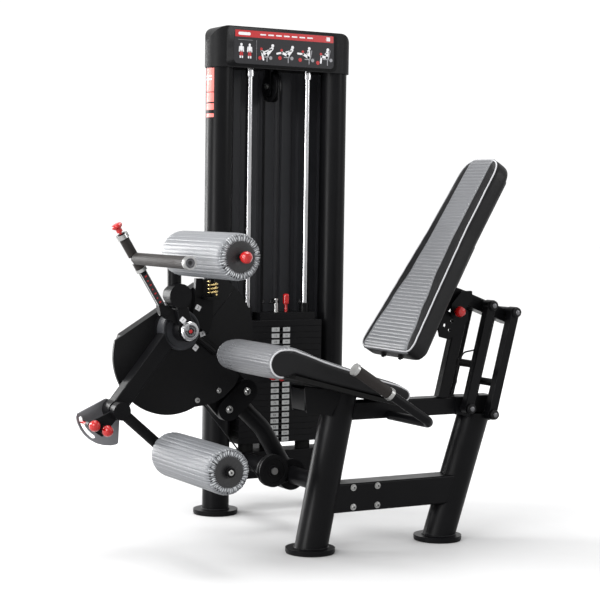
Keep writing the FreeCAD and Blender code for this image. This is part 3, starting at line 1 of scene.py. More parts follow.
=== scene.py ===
import json
import math
import random

import bmesh
import bpy
import numpy as np
from mathutils import Matrix, Vector
from mathutils.bvhtree import BVHTree


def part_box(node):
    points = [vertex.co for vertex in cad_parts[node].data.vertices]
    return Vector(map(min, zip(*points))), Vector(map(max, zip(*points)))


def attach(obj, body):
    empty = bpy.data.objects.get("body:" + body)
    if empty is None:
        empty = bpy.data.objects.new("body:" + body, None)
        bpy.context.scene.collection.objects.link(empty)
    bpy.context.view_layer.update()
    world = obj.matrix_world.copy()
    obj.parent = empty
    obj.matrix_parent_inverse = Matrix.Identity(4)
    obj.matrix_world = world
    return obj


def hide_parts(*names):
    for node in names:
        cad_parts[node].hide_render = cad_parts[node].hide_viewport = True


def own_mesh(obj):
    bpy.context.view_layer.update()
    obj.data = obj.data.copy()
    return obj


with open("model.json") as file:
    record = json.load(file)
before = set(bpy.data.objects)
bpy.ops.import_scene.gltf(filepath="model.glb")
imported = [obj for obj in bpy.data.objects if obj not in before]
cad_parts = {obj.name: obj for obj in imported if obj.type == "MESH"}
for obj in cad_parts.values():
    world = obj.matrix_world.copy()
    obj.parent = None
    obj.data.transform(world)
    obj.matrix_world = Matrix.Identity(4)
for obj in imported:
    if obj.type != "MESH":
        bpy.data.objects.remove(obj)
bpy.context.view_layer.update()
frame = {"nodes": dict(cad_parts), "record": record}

# A leg extension machine and its weight tower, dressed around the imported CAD.

MM = 0.001
TAU = 2 * math.pi
UP = Vector((0, 0, 1))
SIDE = Vector((0, 1, 0))


# ---- Materials ----

def node(tree, kind, **settings):
    """Add a node and set its sockets and its properties by name."""
    made = tree.nodes.new(kind)
    for key, value in settings.items():
        if key in made.inputs:
            made.inputs[key].default_value = value
        else:
            setattr(made, key, value)
    return made


def ranged(tree, source, low, high, from_low=0.3, from_high=0.7):
    """Map a noise value to a range that a shader socket takes."""
    made = node(tree, "ShaderNodeMapRange")
    made.inputs["From Min"].default_value = from_low
    made.inputs["From Max"].default_value = from_high
    made.inputs["To Min"].default_value = low
    made.inputs["To Max"].default_value = high
    tree.links.new(source, made.inputs["Value"])
    return made.outputs["Result"]


def surface(name, colour, rough, metal=0.0, grain=900.0, relief=0.15, mottle=0.15, spread=0.06,
            cells=False, stretch=(1, 1, 1), rounding=0.8, coat=0.0, specular=0.3, speckle=0.0):
    """A finish with fine relief, a slow drift of colour and roughness, and softened edges."""
    mat = bpy.data.materials.new(name)
    mat.use_nodes = True
    tree = mat.node_tree
    links = tree.links
    shader = tree.nodes["Principled BSDF"]
    shader.inputs["Metallic"].default_value = metal
    shader.inputs["Coat Weight"].default_value = coat
    shader.inputs["Coat Roughness"].default_value = 0.08
    shader.inputs["Specular IOR Level"].default_value = specular
    where = node(tree, "ShaderNodeTexCoord")
    warp = node(tree, "ShaderNodeMapping", Scale=stretch)
    links.new(where.outputs["Object"], warp.inputs["Vector"])
    drift = node(tree, "ShaderNodeTexNoise", Scale=7.0, Detail=4.0, Roughness=0.6)
    links.new(where.outputs["Object"], drift.inputs["Vector"])
    if cells:
        fine = node(tree, "ShaderNodeTexVoronoi", Scale=grain, feature="SMOOTH_F1", Smoothness=0.35)
        height = fine.outputs["Distance"]
    else:
        fine = node(tree, "ShaderNodeTexNoise", Scale=grain, Detail=3.0, Roughness=0.65)
        height = fine.outputs["Fac"]
    links.new(warp.outputs["Vector"], fine.inputs["Vector"])
    dark = [c * (1 - mottle) for c in colour] + [1]
    light = [min(1.0, c * (1 + mottle)) for c in colour] + [1]
    blend = node(tree, "ShaderNodeMix", data_type="RGBA")
    blend.inputs[6].default_value = dark
    blend.inputs[7].default_value = light
    links.new(ranged(tree, drift.outputs["Fac"], 0, 1), blend.inputs[0])
    tone = blend.outputs[2]
    if speckle:
        fleck = node(tree, "ShaderNodeMix", data_type="RGBA")
        fleck.inputs[7].default_value = [min(1.0, c * 2.4 + 0.03) for c in colour] + [1]
        links.new(tone, fleck.inputs[6])
        links.new(ranged(tree, height, 0, speckle, 0.5, 0.68), fleck.inputs[0])
        tone = fleck.outputs[2]
    links.new(tone, shader.inputs["Base Color"])
    roughness = ranged(tree, drift.outputs["Fac"], rough - spread, rough + spread)
    links.new(roughness, shader.inputs["Roughness"])
    bump = node(tree, "ShaderNodeBump", Strength=relief, Distance=0.0004)
    links.new(height, bump.inputs["Height"])
    if rounding:
        bevel = node(tree, "ShaderNodeBevel", samples=4, Radius=rounding * MM)
        links.new(bevel.outputs["Normal"], bump.inputs["Normal"])
    links.new(bump.outputs["Normal"], shader.inputs["Normal"])
    return mat


finish = {
    "black_frame": surface("satin_black", (0.0026, 0.0026, 0.0030), 0.34, relief=0.10, grain=1400,
                           speckle=0.06, specular=0.065),
    "black_texture": surface("textured_black", (0.015, 0.0155, 0.0175), 0.44, relief=0.25, grain=1000,
                             speckle=0.15, specular=0.12),
    "moulded_cover": surface("moulded_black", (0.0034, 0.0034, 0.0038), 0.44, relief=0.55, grain=620,
                             speckle=0.2, specular=0.085),
    "steel_plates": surface("plate_black", (0.0030, 0.0030, 0.0034), 0.36, relief=0.2, grain=500,
                            stretch=(0.15, 1, 1), specular=0.08),
    "chrome_rod": surface("chrome", (0.40, 0.40, 0.41), 0.16, 1.0, relief=0.03, stretch=(1, 1, 0.05),
                          mottle=0.05, spread=0.04),
    "zinc_steel": surface("zinc", (0.30, 0.30, 0.295), 0.33, 1.0, relief=0.12, grain=700, mottle=0.12),
    "spring_steel": surface("yellow_zinc", (0.50, 0.38, 0.17), 0.26, 1.0, relief=0.1, grain=800),
    "black_cable": surface("cable_jacket", (0.005, 0.005, 0.0055), 0.42, relief=0.3, grain=1800,
                           specular=0.09),
    "rubber_black": surface("rubber", (0.005, 0.005, 0.005), 0.70, relief=0.35, grain=900, specular=0.08),
    "grip_foam": surface("grip_rubber", (0.011, 0.0092, 0.0085), 0.58, relief=0.6, grain=1500,
                         speckle=0.25, specular=0.13),
    "pulley_black": surface("pulley_nylon", (0.0040, 0.0040, 0.0044), 0.36, relief=0.12, grain=700,
                            specular=0.085),
    "knob_red": surface("red_plastic", (0.27, 0.004, 0.004), 0.24, relief=0.03, mottle=0.05, coat=0.25,
                        spread=0.03),
    "pin_yellow": surface("pin_red", (0.27, 0.005, 0.004), 0.26, relief=0.03, mottle=0.05, coat=0.2,
                          spread=0.03),
    "seat_cover": surface("black_hide", (0.0048, 0.0048, 0.0052), 0.42, relief=0.5, grain=520, cells=True,
                          specular=0.11),
    "roller_cover": surface("silver_hide", (0.115, 0.119, 0.126), 0.34, relief=0.35, grain=620,
                            cells=True, mottle=0.06),
    "placard_face": surface("placard_dark", (0.016, 0.016, 0.0175), 0.38, relief=0.05, grain=900,
                            specular=0.1),
    "pad_board": surface("board_black", (0.005, 0.005, 0.005), 0.6, relief=0.3, grain=300, specular=0.08),
    "silver_scale": surface("scale_silver", (0.035, 0.035, 0.036), 0.25, 1.0, relief=0.08,
                            stretch=(1, 1, 0.1)),
}
extra = {
    "insert": surface("silver_insert", (0.086, 0.088, 0.093), 0.32, relief=0.3, grain=700, cells=True,
                      mottle=0.05, rounding=0),
    "piping": surface("piping_grey", (0.30, 0.30, 0.31), 0.42, relief=0.2, grain=900, mottle=0.05,
                      rounding=0),
    "hide": surface("wall_hide", (0.0048, 0.0048, 0.0052), 0.42, relief=0.5, grain=520, cells=True,
                    rounding=0, specular=0.11),
    "roll": surface("roll_hide", (0.105, 0.109, 0.116), 0.40, relief=0.25, grain=620, cells=True,
                    mottle=0.06, rounding=0),
    # Painted highlight: a lighter, glossier copy of the rollers' silver cover, for the gathers over their
    # ends.
    "tuft_highlight": surface("gathered_hide_highlight", (0.30, 0.31, 0.32), 0.24, relief=0.2, grain=620, cells=True,
                    mottle=0.1, rounding=0),
    "disc": surface("disc_plastic", (0.009, 0.009, 0.0098), 0.46, relief=0.6, grain=520, speckle=0.5),
    "bolt": surface("bolt_dark", (0.10, 0.10, 0.105), 0.34, 0.9, relief=0.1, grain=700, mottle=0.1),
    "sector": surface("sector_grey", (0.20, 0.20, 0.21), 0.36, 0.85, relief=0.5, grain=260, mottle=0.2),
    "orange": surface("tag_orange", (0.70, 0.20, 0.02), 0.42, relief=0.05, mottle=0.05, rounding=0),
    "red": surface("print_red", (0.26, 0.004, 0.006), 0.35, relief=0.04, mottle=0.04, rounding=0),
    "pale": surface("print_pale", (0.46, 0.46, 0.47), 0.42, relief=0.04, mottle=0.05, rounding=0),
    "label": surface("label_grey", (0.25, 0.255, 0.255), 0.40, relief=0.05, mottle=0.10, rounding=0),
    "ink": surface("print_dark", (0.012, 0.012, 0.013), 0.45, relief=0.04, rounding=0),
    "dim": surface("print_dim", (0.17, 0.17, 0.18), 0.42, relief=0.04, mottle=0.05, rounding=0),
    "pink": surface("print_faded_red", (0.50, 0.105, 0.09), 0.38, relief=0.04, mottle=0.05, rounding=0),
    "weld": surface("weld_bead", (0.004, 0.004, 0.0045), 0.30, relief=0.2, grain=900, rounding=0,
                    specular=0.1),
    "chrome": surface("trim_chrome", (0.70, 0.70, 0.71), 0.16, 1.0, relief=0.03, mottle=0.05,
                      spread=0.03),
}

slot_of = {row["node"]: row["material_slot"] for row in frame["record"]["subparts"]}
for name, obj in frame["nodes"].items():
    obj.data.materials.clear()
    obj.data.materials.append(finish[slot_of[name]])
frame["nodes"]["sector_plate"].data.materials[0] = extra["sector"]


# ---- Making pieces ----

def solid(name, points, faces, mat, body, slot, smooth=True):
    """A mesh piece in the row frame that rides on a body."""
    mesh = bpy.data.meshes.new(name)
    mesh.from_pydata([tuple(p) for p in points], [], faces)
    mesh.validate()
    mesh.update()
    obj = bpy.data.objects.new(name, mesh)
    bpy.context.scene.collection.objects.link(obj)
    return dressed(obj, mat, body, smooth)


def dressed(obj, mat, body, smooth=True):
    """Give a piece its finish and the body it rides on."""
    obj.data.materials.clear()
    obj.data.materials.append(mat)
    if smooth:
        obj.data.shade_smooth()
    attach(obj, body)
    return obj


def grid_faces(rows, columns, wrap_rows=False, wrap_columns=False):
    """Quads between neighbouring rows and columns of points."""
    faces = []
    for i in range(rows if wrap_rows else rows - 1):
        for j in range(columns if wrap_columns else columns - 1):
            a = i * columns + j
            b = i * columns + (j + 1) % columns
            c = (i + 1) % rows * columns + (j + 1) % columns
            e = (i + 1) % rows * columns + j
            faces.append((a, b, c, e))
    return faces


def tube(path, radius, sides=10, closed=False):
    """Points and faces of a round tube along a path."""
    count = len(path)
    path = [Vector(p) for p in path]
    points = []
    before = None
    for n, here in enumerate(path):
        last = path[(n - 1) % count] if closed or n else here
        after = path[(n + 1) % count] if closed or n < count - 1 else here
        way = (after - last).normalized()
        if before is None:
            across = way.orthogonal().normalized()
        else:
            across = (before - way * before.dot(way)).normalized()
        before = across
        over = way.cross(across)
        r = radius(n / count) if callable(radius) else radius
        for k in range(sides):
            angle = TAU * k / sides
            points.append(here + (across * math.cos(angle) + over * math.sin(angle)) * r)
    faces = grid_faces(count, sides, wrap_rows=closed, wrap_columns=True)
    if not closed:
        faces.append(tuple(range(sides))[::-1])
        faces.append(tuple(range((count - 1) * sides, count * sides)))
    return points, faces


def merged(parts):
    """Join several (points, faces) into one."""
    points, faces = [], []
    for some, quads in parts:
        base = len(points)
        points += list(some)
        faces += [tuple(base + i for i in f) for f in quads]
    return points, faces


def prism(centre, across, upward, outline, thick, out):
    """A flat outline given thickness along out."""
    count = len(outline)
    points = []
    for lift in (0.0, thick):
        points += [centre + across * u + upward * v + out * lift for u, v in outline]
    faces = [tuple(range(count))[::-1], tuple(range(count, 2 * count))]
    faces += [(n, (n + 1) % count, count + (n + 1) % count, count + n) for n in range(count)]
    return points, faces


def turned(profile, start, way, sides=48):
    """A revolved (radius, height) outline about an axis."""
    way = Vector(way).normalized()
    across = way.orthogonal().normalized()
    over = way.cross(across)
    points = []
    for r, h in profile:
        for k in range(sides):
            angle = TAU * k / sides
            points.append(Vector(start) + way * h + (across * math.cos(angle) + over * math.sin(angle)) * r)
    rows = len(profile)
    faces = grid_faces(rows, sides, wrap_columns=True)
    faces.append(tuple(range(sides))[::-1])
    faces.append(tuple(range((rows - 1) * sides, rows * sides)))
    return points, faces


# ---- Padded forms ----

def rounded_outline(corners, radii, steps=7):
    """A closed outline with an arc at each corner."""
    outline = []
    count = len(corners)
    for n in range(count):
        here = Vector(corners[n])
        into = (here - Vector(corners[n - 1])).normalized()
        away = (Vector(corners[(n + 1) % count]) - here).normalized()
        reach = radii[n] * math.tan(into.angle(away) / 2)
        start = here - into * reach
        end = here + away * reach
        for k in range(steps + 1):
            t = k / steps
            outline.append(start * (1 - t) ** 2 + here * 2 * t * (1 - t) + end * t * t)
    return outline


CLOTH_STEPS = 20


def swollen(name, points, faces, voxel, travel, pressure=4.0):
    """Remesh a closed form and blow it up as cloth, keeping every point within its travel."""
    mesh = bpy.data.meshes.new(name)
    mesh.from_pydata([tuple(p) for p in points], [], faces)
    obj = bpy.data.objects.new(name, mesh)
    bpy.context.scene.collection.objects.link(obj)
    bpy.context.view_layer.objects.active = obj
    work = bmesh.new()
    work.from_mesh(mesh)
    bmesh.ops.recalc_face_normals(work, faces=work.faces)
    work.to_mesh(mesh)
    work.free()
    remesh = obj.modifiers.new("remesh", "REMESH")
    remesh.mode = "VOXEL"
    remesh.voxel_size = voxel
    bpy.ops.object.modifier_apply(modifier="remesh")
    smooth = obj.modifiers.new("smooth", "SMOOTH")
    smooth.iterations = 6
    bpy.ops.object.modifier_apply(modifier="smooth")
    count = len(obj.data.vertices)
    rest = np.zeros(count * 3)
    obj.data.vertices.foreach_get("co", rest)
    rest = rest.reshape(-1, 3)
    cloth = obj.modifiers.new("cloth", "CLOTH")
    cloth.settings.quality = 5
    cloth.settings.mass = 0.3
    cloth.settings.use_pressure = True
    cloth.settings.uniform_pressure_force = pressure
    cloth.settings.tension_stiffness = 20
    cloth.settings.compression_stiffness = 20
    cloth.settings.bending_stiffness = 2
    cloth.settings.effector_weights.gravity = 0
    cloth.point_cache.frame_start = 1
    cloth.point_cache.frame_end = CLOTH_STEPS
    for step in range(1, CLOTH_STEPS + 1):
        bpy.context.scene.frame_set(step)
    ready = obj.evaluated_get(bpy.context.evaluated_depsgraph_get())
    blown = np.zeros(count * 3)
    ready.data.vertices.foreach_get("co", blown)
    obj.modifiers.remove(cloth)
    bpy.context.scene.frame_set(1)
    out = np.zeros(count * 3)
    obj.data.vertices.foreach_get("normal", out)
    out = out.reshape(-1, 3)
    rise = ((blown.reshape(-1, 3) - rest) * out).sum(axis=1, keepdims=True)
    rest = rest + out * np.clip(rise, 0.0, travel)
    obj.data.vertices.foreach_set("co", rest.ravel())
    soft = obj.modifiers.new("soft", "SMOOTH")
    soft.iterations = 4
    bpy.ops.object.modifier_apply(modifier="soft")
    finer = obj.modifiers.new("finer", "SUBSURF")
    finer.levels = 1
    bpy.ops.object.modifier_apply(modifier="finer")
    return obj


def tree_of(obj):
    """A search tree of a piece's faces."""
    points = [v.co.copy() for v in obj.data.vertices]
    return BVHTree.FromPolygons(points, [tuple(p.vertices) for p in obj.data.polygons])


def on_skin(tree, point, out, reach=0.05):
    """The place on a pad's skin that is met when falling inwards from above the point."""
    hit = tree.ray_cast(point + out * reach, -out, 2.5 * reach)[0]
    return hit if hit is not None else tree.find_nearest(point)[0]


def rib_height(distance, pitch, height):
    """Rounded ribs with narrow sewn channels between them."""
    phase = abs(math.sin(math.pi * distance / pitch))
    return height * (1 - (1 - phase) ** 2.4)


RIB_PITCH = 12 * MM
RIB_HIGH = 2.1 * MM


def ribbed_panel(tree, stations, columns, lift=0.9 * MM):
    """A ribbed insert sewn over a pad. A station is (place, out, half width, distance along the pad)."""
    points = []
    under = []
    for place, out, half, distance in stations:
        rise = rib_height(distance, RIB_PITCH, RIB_HIGH)
        for j in range(columns):
            share = 2 * j / (columns - 1) - 1
            spot = on_skin(tree, place + SIDE * (share * half), out)
            edge = min(1.0, (1 - abs(share)) * half / (7 * MM))
            points.append(spot + out * (lift * (0.2 + 0.8 * edge) + rise * edge))
            under.append(spot - out * 2 * MM)
    rows = len(stations)
    top = grid_faces(rows, columns)
    base = len(points)
    low = [tuple(base + i for i in f[::-1]) for f in top]
    rim = [i * columns for i in range(rows)] + [(rows - 1) * columns + j for j in range(1, columns)]
    rim += [i * columns + columns - 1 for i in range(rows - 2, -1, -1)]
    rim += list(range(columns - 2, 0, -1))
    skirt = []
    for n, a in enumerate(rim):
        b = rim[(n + 1) % len(rim)]
        skirt.append((a, b, base + b, base + a))
    return points + under, top + low + skirt


def smooth_path(points, spacing):
    """Points at even spacing along a polyline."""
    line = [Vector(p) for p in points]
    lengths = [0.0]
    for a, b in zip(line, line[1:]):
        lengths.append(lengths[-1] + (b - a).length)
    count = max(2, int(lengths[-1] / spacing))
    out = []
    k = 0
    for n in range(count + 1):
        goal = lengths[-1] * n / count
        while k < len(line) - 2 and lengths[k + 1] < goal:
            k += 1
        t = (goal - lengths[k]) / max(1e-9, lengths[k + 1] - lengths[k])
        out.append(line[k].lerp(line[k + 1], t))
    return out


def softened(line, rounds, closed=False):
    """Average neighbours to take the corners off a path."""
    line = [p.copy() for p in line]
    for _ in range(rounds):
        new = []
        for n, p in enumerate(line):
            if not closed and n in (0, len(line) - 1):
                new.append(p)
            else:
                new.append(line[n - 1] * 0.25 + p * 0.5 + line[(n + 1) % len(line)] * 0.25)
        line = new
    return line


# ---- Seat ----

ROLL = Vector((-196, 0, 588)) * MM
ROLL_R = 45 * MM
SEAT_HALF = 170 * MM
SEAT_TOP = [(-160, 632), (-112, 616), (-50, 592), (13, 572), (110, 541), (194, 517), (224, 506)]
SEAT_END = [(240, 496), (247, 482), (241, 466), (230, 457)]
SEAT_LOW = [(170, 471), (110, 487), (32, 507), (-46, 527), (-110, 544), (-152, 556)]


def seat_profile():
    """Side outline of the seat from under the front roll, over the top and back along the base."""
    roll = []
    for step in range(15):
        angle = math.radians(-62 - step * 14.5)
        roll.append(ROLL + Vector((math.cos(angle), 0, math.sin(angle))) * ROLL_R)
    rest = [Vector((x, 0, z)) * MM for x, z in SEAT_TOP + SEAT_END + SEAT_LOW]
    return softened(smooth_path(roll + rest, 6 * MM), 3)


def outward(line, n):
    """The direction out of a pad at a point of its side outline."""
    way = (line[min(n + 1, len(line) - 1)] - line[max(n - 1, 0)]).normalized()
    return Vector((-way.z, 0, way.x))


profile = seat_profile()
inset = [p - outward(profile, n) * 4 * MM for n, p in enumerate(profile)]
count = len(inset)
seat_points = []
for share, draw in ((-1, 5), (-0.985, 1.5), (-0.95, 0), (0.95, 0), (0.985, 1.5), (1, 5)):
    y = SIDE * (share * SEAT_HALF)
    seat_points += [p - outward(profile, n) * draw * MM + y for n, p in enumerate(inset)]
seat_faces = grid_faces(6, count, wrap_columns=True)
seat_faces += [tuple(range(count)), tuple(range(5 * count, 6 * count))[::-1]]
seat_pad = swollen("seat_pad", seat_points, seat_faces, 5 * MM, 4 * MM)
dressed(seat_pad, extra["hide"], "frame")
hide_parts("seat_cushion")
seat_tree = tree_of(seat_pad)

# The insert runs over the roll at its full width and narrows behind it.
INSERT_START, INSERT_END = 0.012, 0.655
INSERT_WIDE, INSERT_DRAWN = 172, 34
TAPER_START, TAPER_LONG = 0.16, 0.14
FINE = 1.7 * MM
fine_profile = softened(smooth_path(profile, FINE), 8)
seat_stations = []
run = 0.0
for n, p in enumerate(fine_profile):
    run += (p - fine_profile[n - 1]).length if n else 0.0
    if run > INSERT_END or run < INSERT_START:
        continue
    narrow = min(1.0, max(0.0, (run - TAPER_START) / TAPER_LONG))
    narrow = narrow * narrow * (3 - 2 * narrow)
    seat_stations.append((p, outward(fine_profile, n), (INSERT_WIDE - INSERT_DRAWN * narrow) * MM, run))
panel = ribbed_panel(seat_tree, seat_stations, 42)
solid("seat_insert", *panel, extra["insert"], "frame", "seat_cover")


def side_piping(y):
    """Piping along one side outline of the seat, on the edge of its wall."""
    line = []
    for n, p in enumerate(profile):
        if 2 < n < len(profile) - 50:
            out = outward(profile, n)
            line.append(seat_tree.find_nearest(p + SIDE * y + out * 2 * MM)[0] + out * MM)
    return tube(softened(line, 2), 2.6 * MM, 8)


piping = merged([side_piping(side * (SEAT_HALF + 3 * MM)) for side in (-1, 1)])
solid("seat_piping", *piping, extra["piping"], "frame", "seat_cover")

# ---- Backrest ----

REST_FOOT = Vector((245, 0, 603)) * MM
REST_UP = Vector((0.523, 0, 0.852)).normalized()
REST_OUT = Vector((-REST_UP.z, 0, REST_UP.x))
REST_TALL = 697
REST_LONG = REST_TALL * MM
REST_SIDES = [(0, 151), (230, 126), (430, 106), (REST_TALL, 96)]


def rest_half(share):
    """Half width of the back pad at a share of its height."""
    height = max(0.0, min(1.0, share)) * REST_TALL
    for (low, wide), (high, narrow) in zip(REST_SIDES, REST_SIDES[1:]):
        if height <= high:
            return (wide + (narrow - wide) * (height - low) / (high - low)) * MM
    return REST_SIDES[-1][1] * MM


right_side = [(half * MM, up * MM, 0) for up, half in REST_SIDES]
left_side = [(-half * MM, up * MM, 0) for up, half in REST_SIDES[::-1]]
outline = rounded_outline(right_side + left_side, [r * MM for r in (38, 300, 300, 64, 64, 300, 300, 38)])


def rest_place(u, v, depth):
    """A point of the back pad: u across, v up the pad, depth behind its face."""
    return REST_FOOT + SIDE * u + REST_UP * v - REST_OUT * depth


def rest_loop(shrink, depth):
    """One loop of the pad's form, drawn in from its outline."""
    loop = []
    for p in outline:
        u = p.x * (1 - shrink / rest_half(p.y / REST_LONG))
        v = REST_LONG / 2 + (p.y - REST_LONG / 2) * (1 - 2 * shrink / REST_LONG)
        loop.append(rest_place(u, v, depth))
    return loop


LOOPS = [(10, 2), (4, 3.5), (1.5, 7), (1, 20), (1, 46), (4, 58), (12, 63)]
rest_points = []
for shrink, depth in LOOPS:
    rest_points += rest_loop(shrink * MM, depth * MM)
count = len(outline)
rest_faces = grid_faces(len(LOOPS), count, wrap_columns=True)
rest_faces += [tuple(range(count))[::-1], tuple(range((len(LOOPS) - 1) * count, len(LOOPS) * count))]
rest_pad = swollen("rest_pad", rest_points, rest_faces, 5 * MM, 2.5 * MM)
dressed(rest_pad, extra["hide"], "backrest")
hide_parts("backrest_cushion")
rest_tree = tree_of(rest_pad)

INSERT_HALF = [(-0.06, 124), (0.0, 124), (0.1, 114), (0.25, 93), (0.42, 71), (0.6, 62), (0.8, 60),
               (1.06, 56)]


def insert_half(share):
    """Half width of the ribbed insert: wide at the foot, drawn in at the waist."""
    for (a, low), (b, high) in zip(INSERT_HALF, INSERT_HALF[1:]):
        if share <= b:
            t = (share - a) / (b - a)
            t = t * t * (3 - 2 * t)
            return (low + (high - low) * t) * MM
    return INSERT_HALF[-1][1] * MM


REST_EDGE = 16 * MM


def edge_point(start, degrees):
    """A point of the rounding at the pad's foot or head, which starts at a height."""
    turn = math.radians(degrees)
    return rest_place(0, start + REST_EDGE * math.sin(turn), REST_EDGE - REST_EDGE * math.cos(turn))


rest_line = [edge_point(REST_EDGE, angle) for angle in range(-75, 1, 5)]
for step in range(1, 60):
    rest_line.append(rest_place(0, REST_EDGE + (REST_LONG - 2 * REST_EDGE) * step / 60, 0))
rest_line += [edge_point(REST_LONG - REST_EDGE, angle) for angle in range(0, 71, 5)]
rest_line = softened(smooth_path(rest_line, FINE), 6)
rest_stations = []
run = 0.0
for n, p in enumerate(rest_line):
    run += (p - rest_line[n - 1]).length if n else 0.0
    out = outward(rest_line, n)
    share = (p - REST_FOOT).dot(REST_UP) / REST_LONG
    rest_stations.append((p, out, insert_half(share), run))
panel = ribbed_panel(rest_tree, rest_stations, 34)
solid("rest_insert", *panel, extra["insert"], "backrest", "seat_cover")

ring = [rest_place(p.x, p.y, -1 * MM) for p in outline]
ring = smooth_path(ring + [ring[0]], 6 * MM)[:-1]
ring = [rest_tree.find_nearest(p)[0] + REST_OUT * 0.8 * MM for p in ring]
piping = tube(softened(ring, 2, True), 2.4 * MM, 8, closed=True)
solid("rest_piping", *piping, extra["piping"], "backrest", "seat_cover")

# ---- Rollers ----

ROLL_RIBS = 30
RIB_STEPS = 10                       # points across each rib
RIB_RISE = 1.5 * MM
SKIN = 1.6 * MM                      # the cover's ribs stand this far inside the foam's size
PLEATS = 46
PLEAT_DEEP = 2.9 * MM
SAG = 0.7 * MM
END_HOLLOW = [(44, 0), (44, 2.2), (57, 1.9), (61.5, 0)]
# From the end's hollow out to the side: share of the radius, share of the half length, how gathered.
ROLL_END = [(0.60, 0.979, 0.0), (0.66, 0.988, 0.7), (0.74, 0.997, 1.0), (0.84, 0.998, 1.0),
            (0.92, 0.985, 0.85), (0.97, 0.960, 0.6), (0.995, 0.925, 0.35), (1.0, 0.89, 0.18),
            (1.0, 0.85, 0.08), (1.0, 0.80, 0.0)]
END_DISC = [(45, 0), (45, 4), (43.5, 5.6), (41, 6), (14, 6), (12, 4.5), (11, 4.5)]


def gather_width(t):
    """How full a gather is along its length: thin where it starts and ends."""
    return 0.35 + 0.65 * math.sin(math.pi * min(1.0, 0.15 + 0.8 * t))


def roller(name, node_name, body, seed):
    """A ribbed roll whose cover is gathered over both ends, with a dark disc set in each; the hollow under
    each end's gathers is black as painted shade, and the gathers are a lighter copy of the cover as painted
    highlight.
    """
    low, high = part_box(node_name)
    centre = (low + high) / 2
    half = (high.y - low.y) / 2
    big = (high.x - low.x) / 2
    spread = random.Random(seed)
    wobble = [(spread.uniform(-0.5, 0.5), spread.uniform(0.7, 1.25)) for _ in range(PLEATS)]
    columns = ROLL_RIBS * RIB_STEPS
    rows = ROLL_END + [(1.0, 0.80 * (1 - k / 8), 0.0) for k in range(1, 9)]
    stations = [(r, -s, gather) for r, s, gather in rows] + rows[::-1][1:]
    points = []
    for r, s, gather in stations:
        for k in range(columns):
            angle = TAU * k / columns
            rib = rib_height(k / RIB_STEPS, 1.0, RIB_RISE) * (1 - gather)
            fold = angle / TAU * PLEATS
            which = int(fold) % PLEATS
            shift, deep = wobble[which]
            crest = abs(math.sin(math.pi * (fold + shift * 0.3)))
            pleat = (2 * crest ** 0.6 - 1.2) * PLEAT_DEEP * gather * deep
            sag = SAG * math.sin(3 * angle + seed) * math.cos(2.2 * s)
            radius = big * r - SKIN + rib + sag + pleat * 0.5
            y = s * half + (pleat * 1.3 if s > 0 else -pleat * 1.3)
            y = max(-half + 0.4 * MM, min(half - 0.4 * MM, y))
            points.append(centre + Vector((math.cos(angle) * radius, y, math.sin(angle) * radius)))
    faces = grid_faces(len(stations), columns, wrap_columns=True)
    faces.append(tuple(range(columns)))
    faces.append(tuple(range((len(stations) - 1) * columns, len(stations) * columns))[::-1])
    cover = solid(name + "_cover", points, faces, extra["roll"], body, "roller_cover")
    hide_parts(node_name)
    rings, tufts, discs = [], [], []
    for side in (-1, 1):
        start = centre + SIDE * (side * (half - 3.2 * MM))
        rings.append(turned([(r * MM, h * MM) for r, h in END_HOLLOW], start, SIDE * side, 72))
        for n in range(PLEATS):
            angle = (n + spread.uniform(-0.3, 0.3)) * TAU / PLEATS
            lean = angle + spread.uniform(-0.05, 0.05)
            first, last = spread.uniform(44.5, 49), spread.uniform(59, 64.5)
            path = []
            for k in range(7):
                t = k / 6
                reach = (first + (last - first) * t) * MM
                turn = angle + (lean - angle) * t
                rise = half - (2.6 - 2.2 * math.sin(math.pi * min(1.0, 0.12 + t)) + 4.2 * t ** 3) * MM
                path.append(centre + Vector((math.cos(turn) * reach, side * rise, math.sin(turn) * reach)))
            fat = spread.uniform(1.3, 2.5) * MM
            tufts.append(tube(path, lambda t: fat * gather_width(t), 8))
        start = centre + SIDE * (side * (half - 6 * MM))
        discs.append(turned([(r * MM, h * MM) for r, h in END_DISC], start, SIDE * side, 64))
    solid(name + "_discs", *merged(discs), extra["disc"], body, "pulley_black")
    # Painted shade: the hollow ring under the gathers is drawn in the black hide, though it is the silver
    # cover.
    solid(name + "_hollows", *merged(rings), extra["hide"], body, "roller_cover")
    # Painted highlight: the gathers use the lighter, glossier copy of the silver cover.
    solid(name + "_tufts", *merged(tufts), extra["tuft_highlight"], body, "roller_cover")


roller("lower_roll", "lower_roller", "lower_roller", 3)
roller("top_roll", "top_roller", "top_roller", 8)

# ---- Printed and small trim ----

RIGHT = Vector((1, 0, 0))
NEAR = Vector((0, -1, 0))


def stroke(a, b, half):
    """Outline of a thick line with round ends."""
    a, b = Vector(a), Vector(b)
    way = (b - a).normalized()
    side = Vector((-way.y, way.x))
    outline = []
    for centre, first in ((b, -90), (a, 90)):
        for step in range(7):
            angle = math.radians(first + step * 30)
            outline.append(centre + (way * math.cos(angle) + side * math.sin(angle)) * half)
    return outline


def dot(centre, radius, sides=24):
    """Outline of a round spot."""
    return [(centre[0] + radius * math.cos(TAU * k / sides), centre[1] + radius * math.sin(TAU * k / sides))
            for k in range(sides)]


def box_outline(u0, v0, u1, v1, corner=0.0):
    """Outline of an upright box, with its corners rounded where asked."""
    if not corner:
        return [(u0, v0), (u1, v0), (u1, v1), (u0, v1)]
    outline = []
    for cu, cv, first in ((u1 - corner, v0 + corner, -90), (u1 - corner, v1 - corner, 0),
                          (u0 + corner, v1 - corner, 90), (u0 + corner, v0 + corner, 180)):
        for step in range(5):
            angle = math.radians(first + step * 22.5)
            outline.append((cu + corner * math.cos(angle), cv + corner * math.sin(angle)))
    return outline


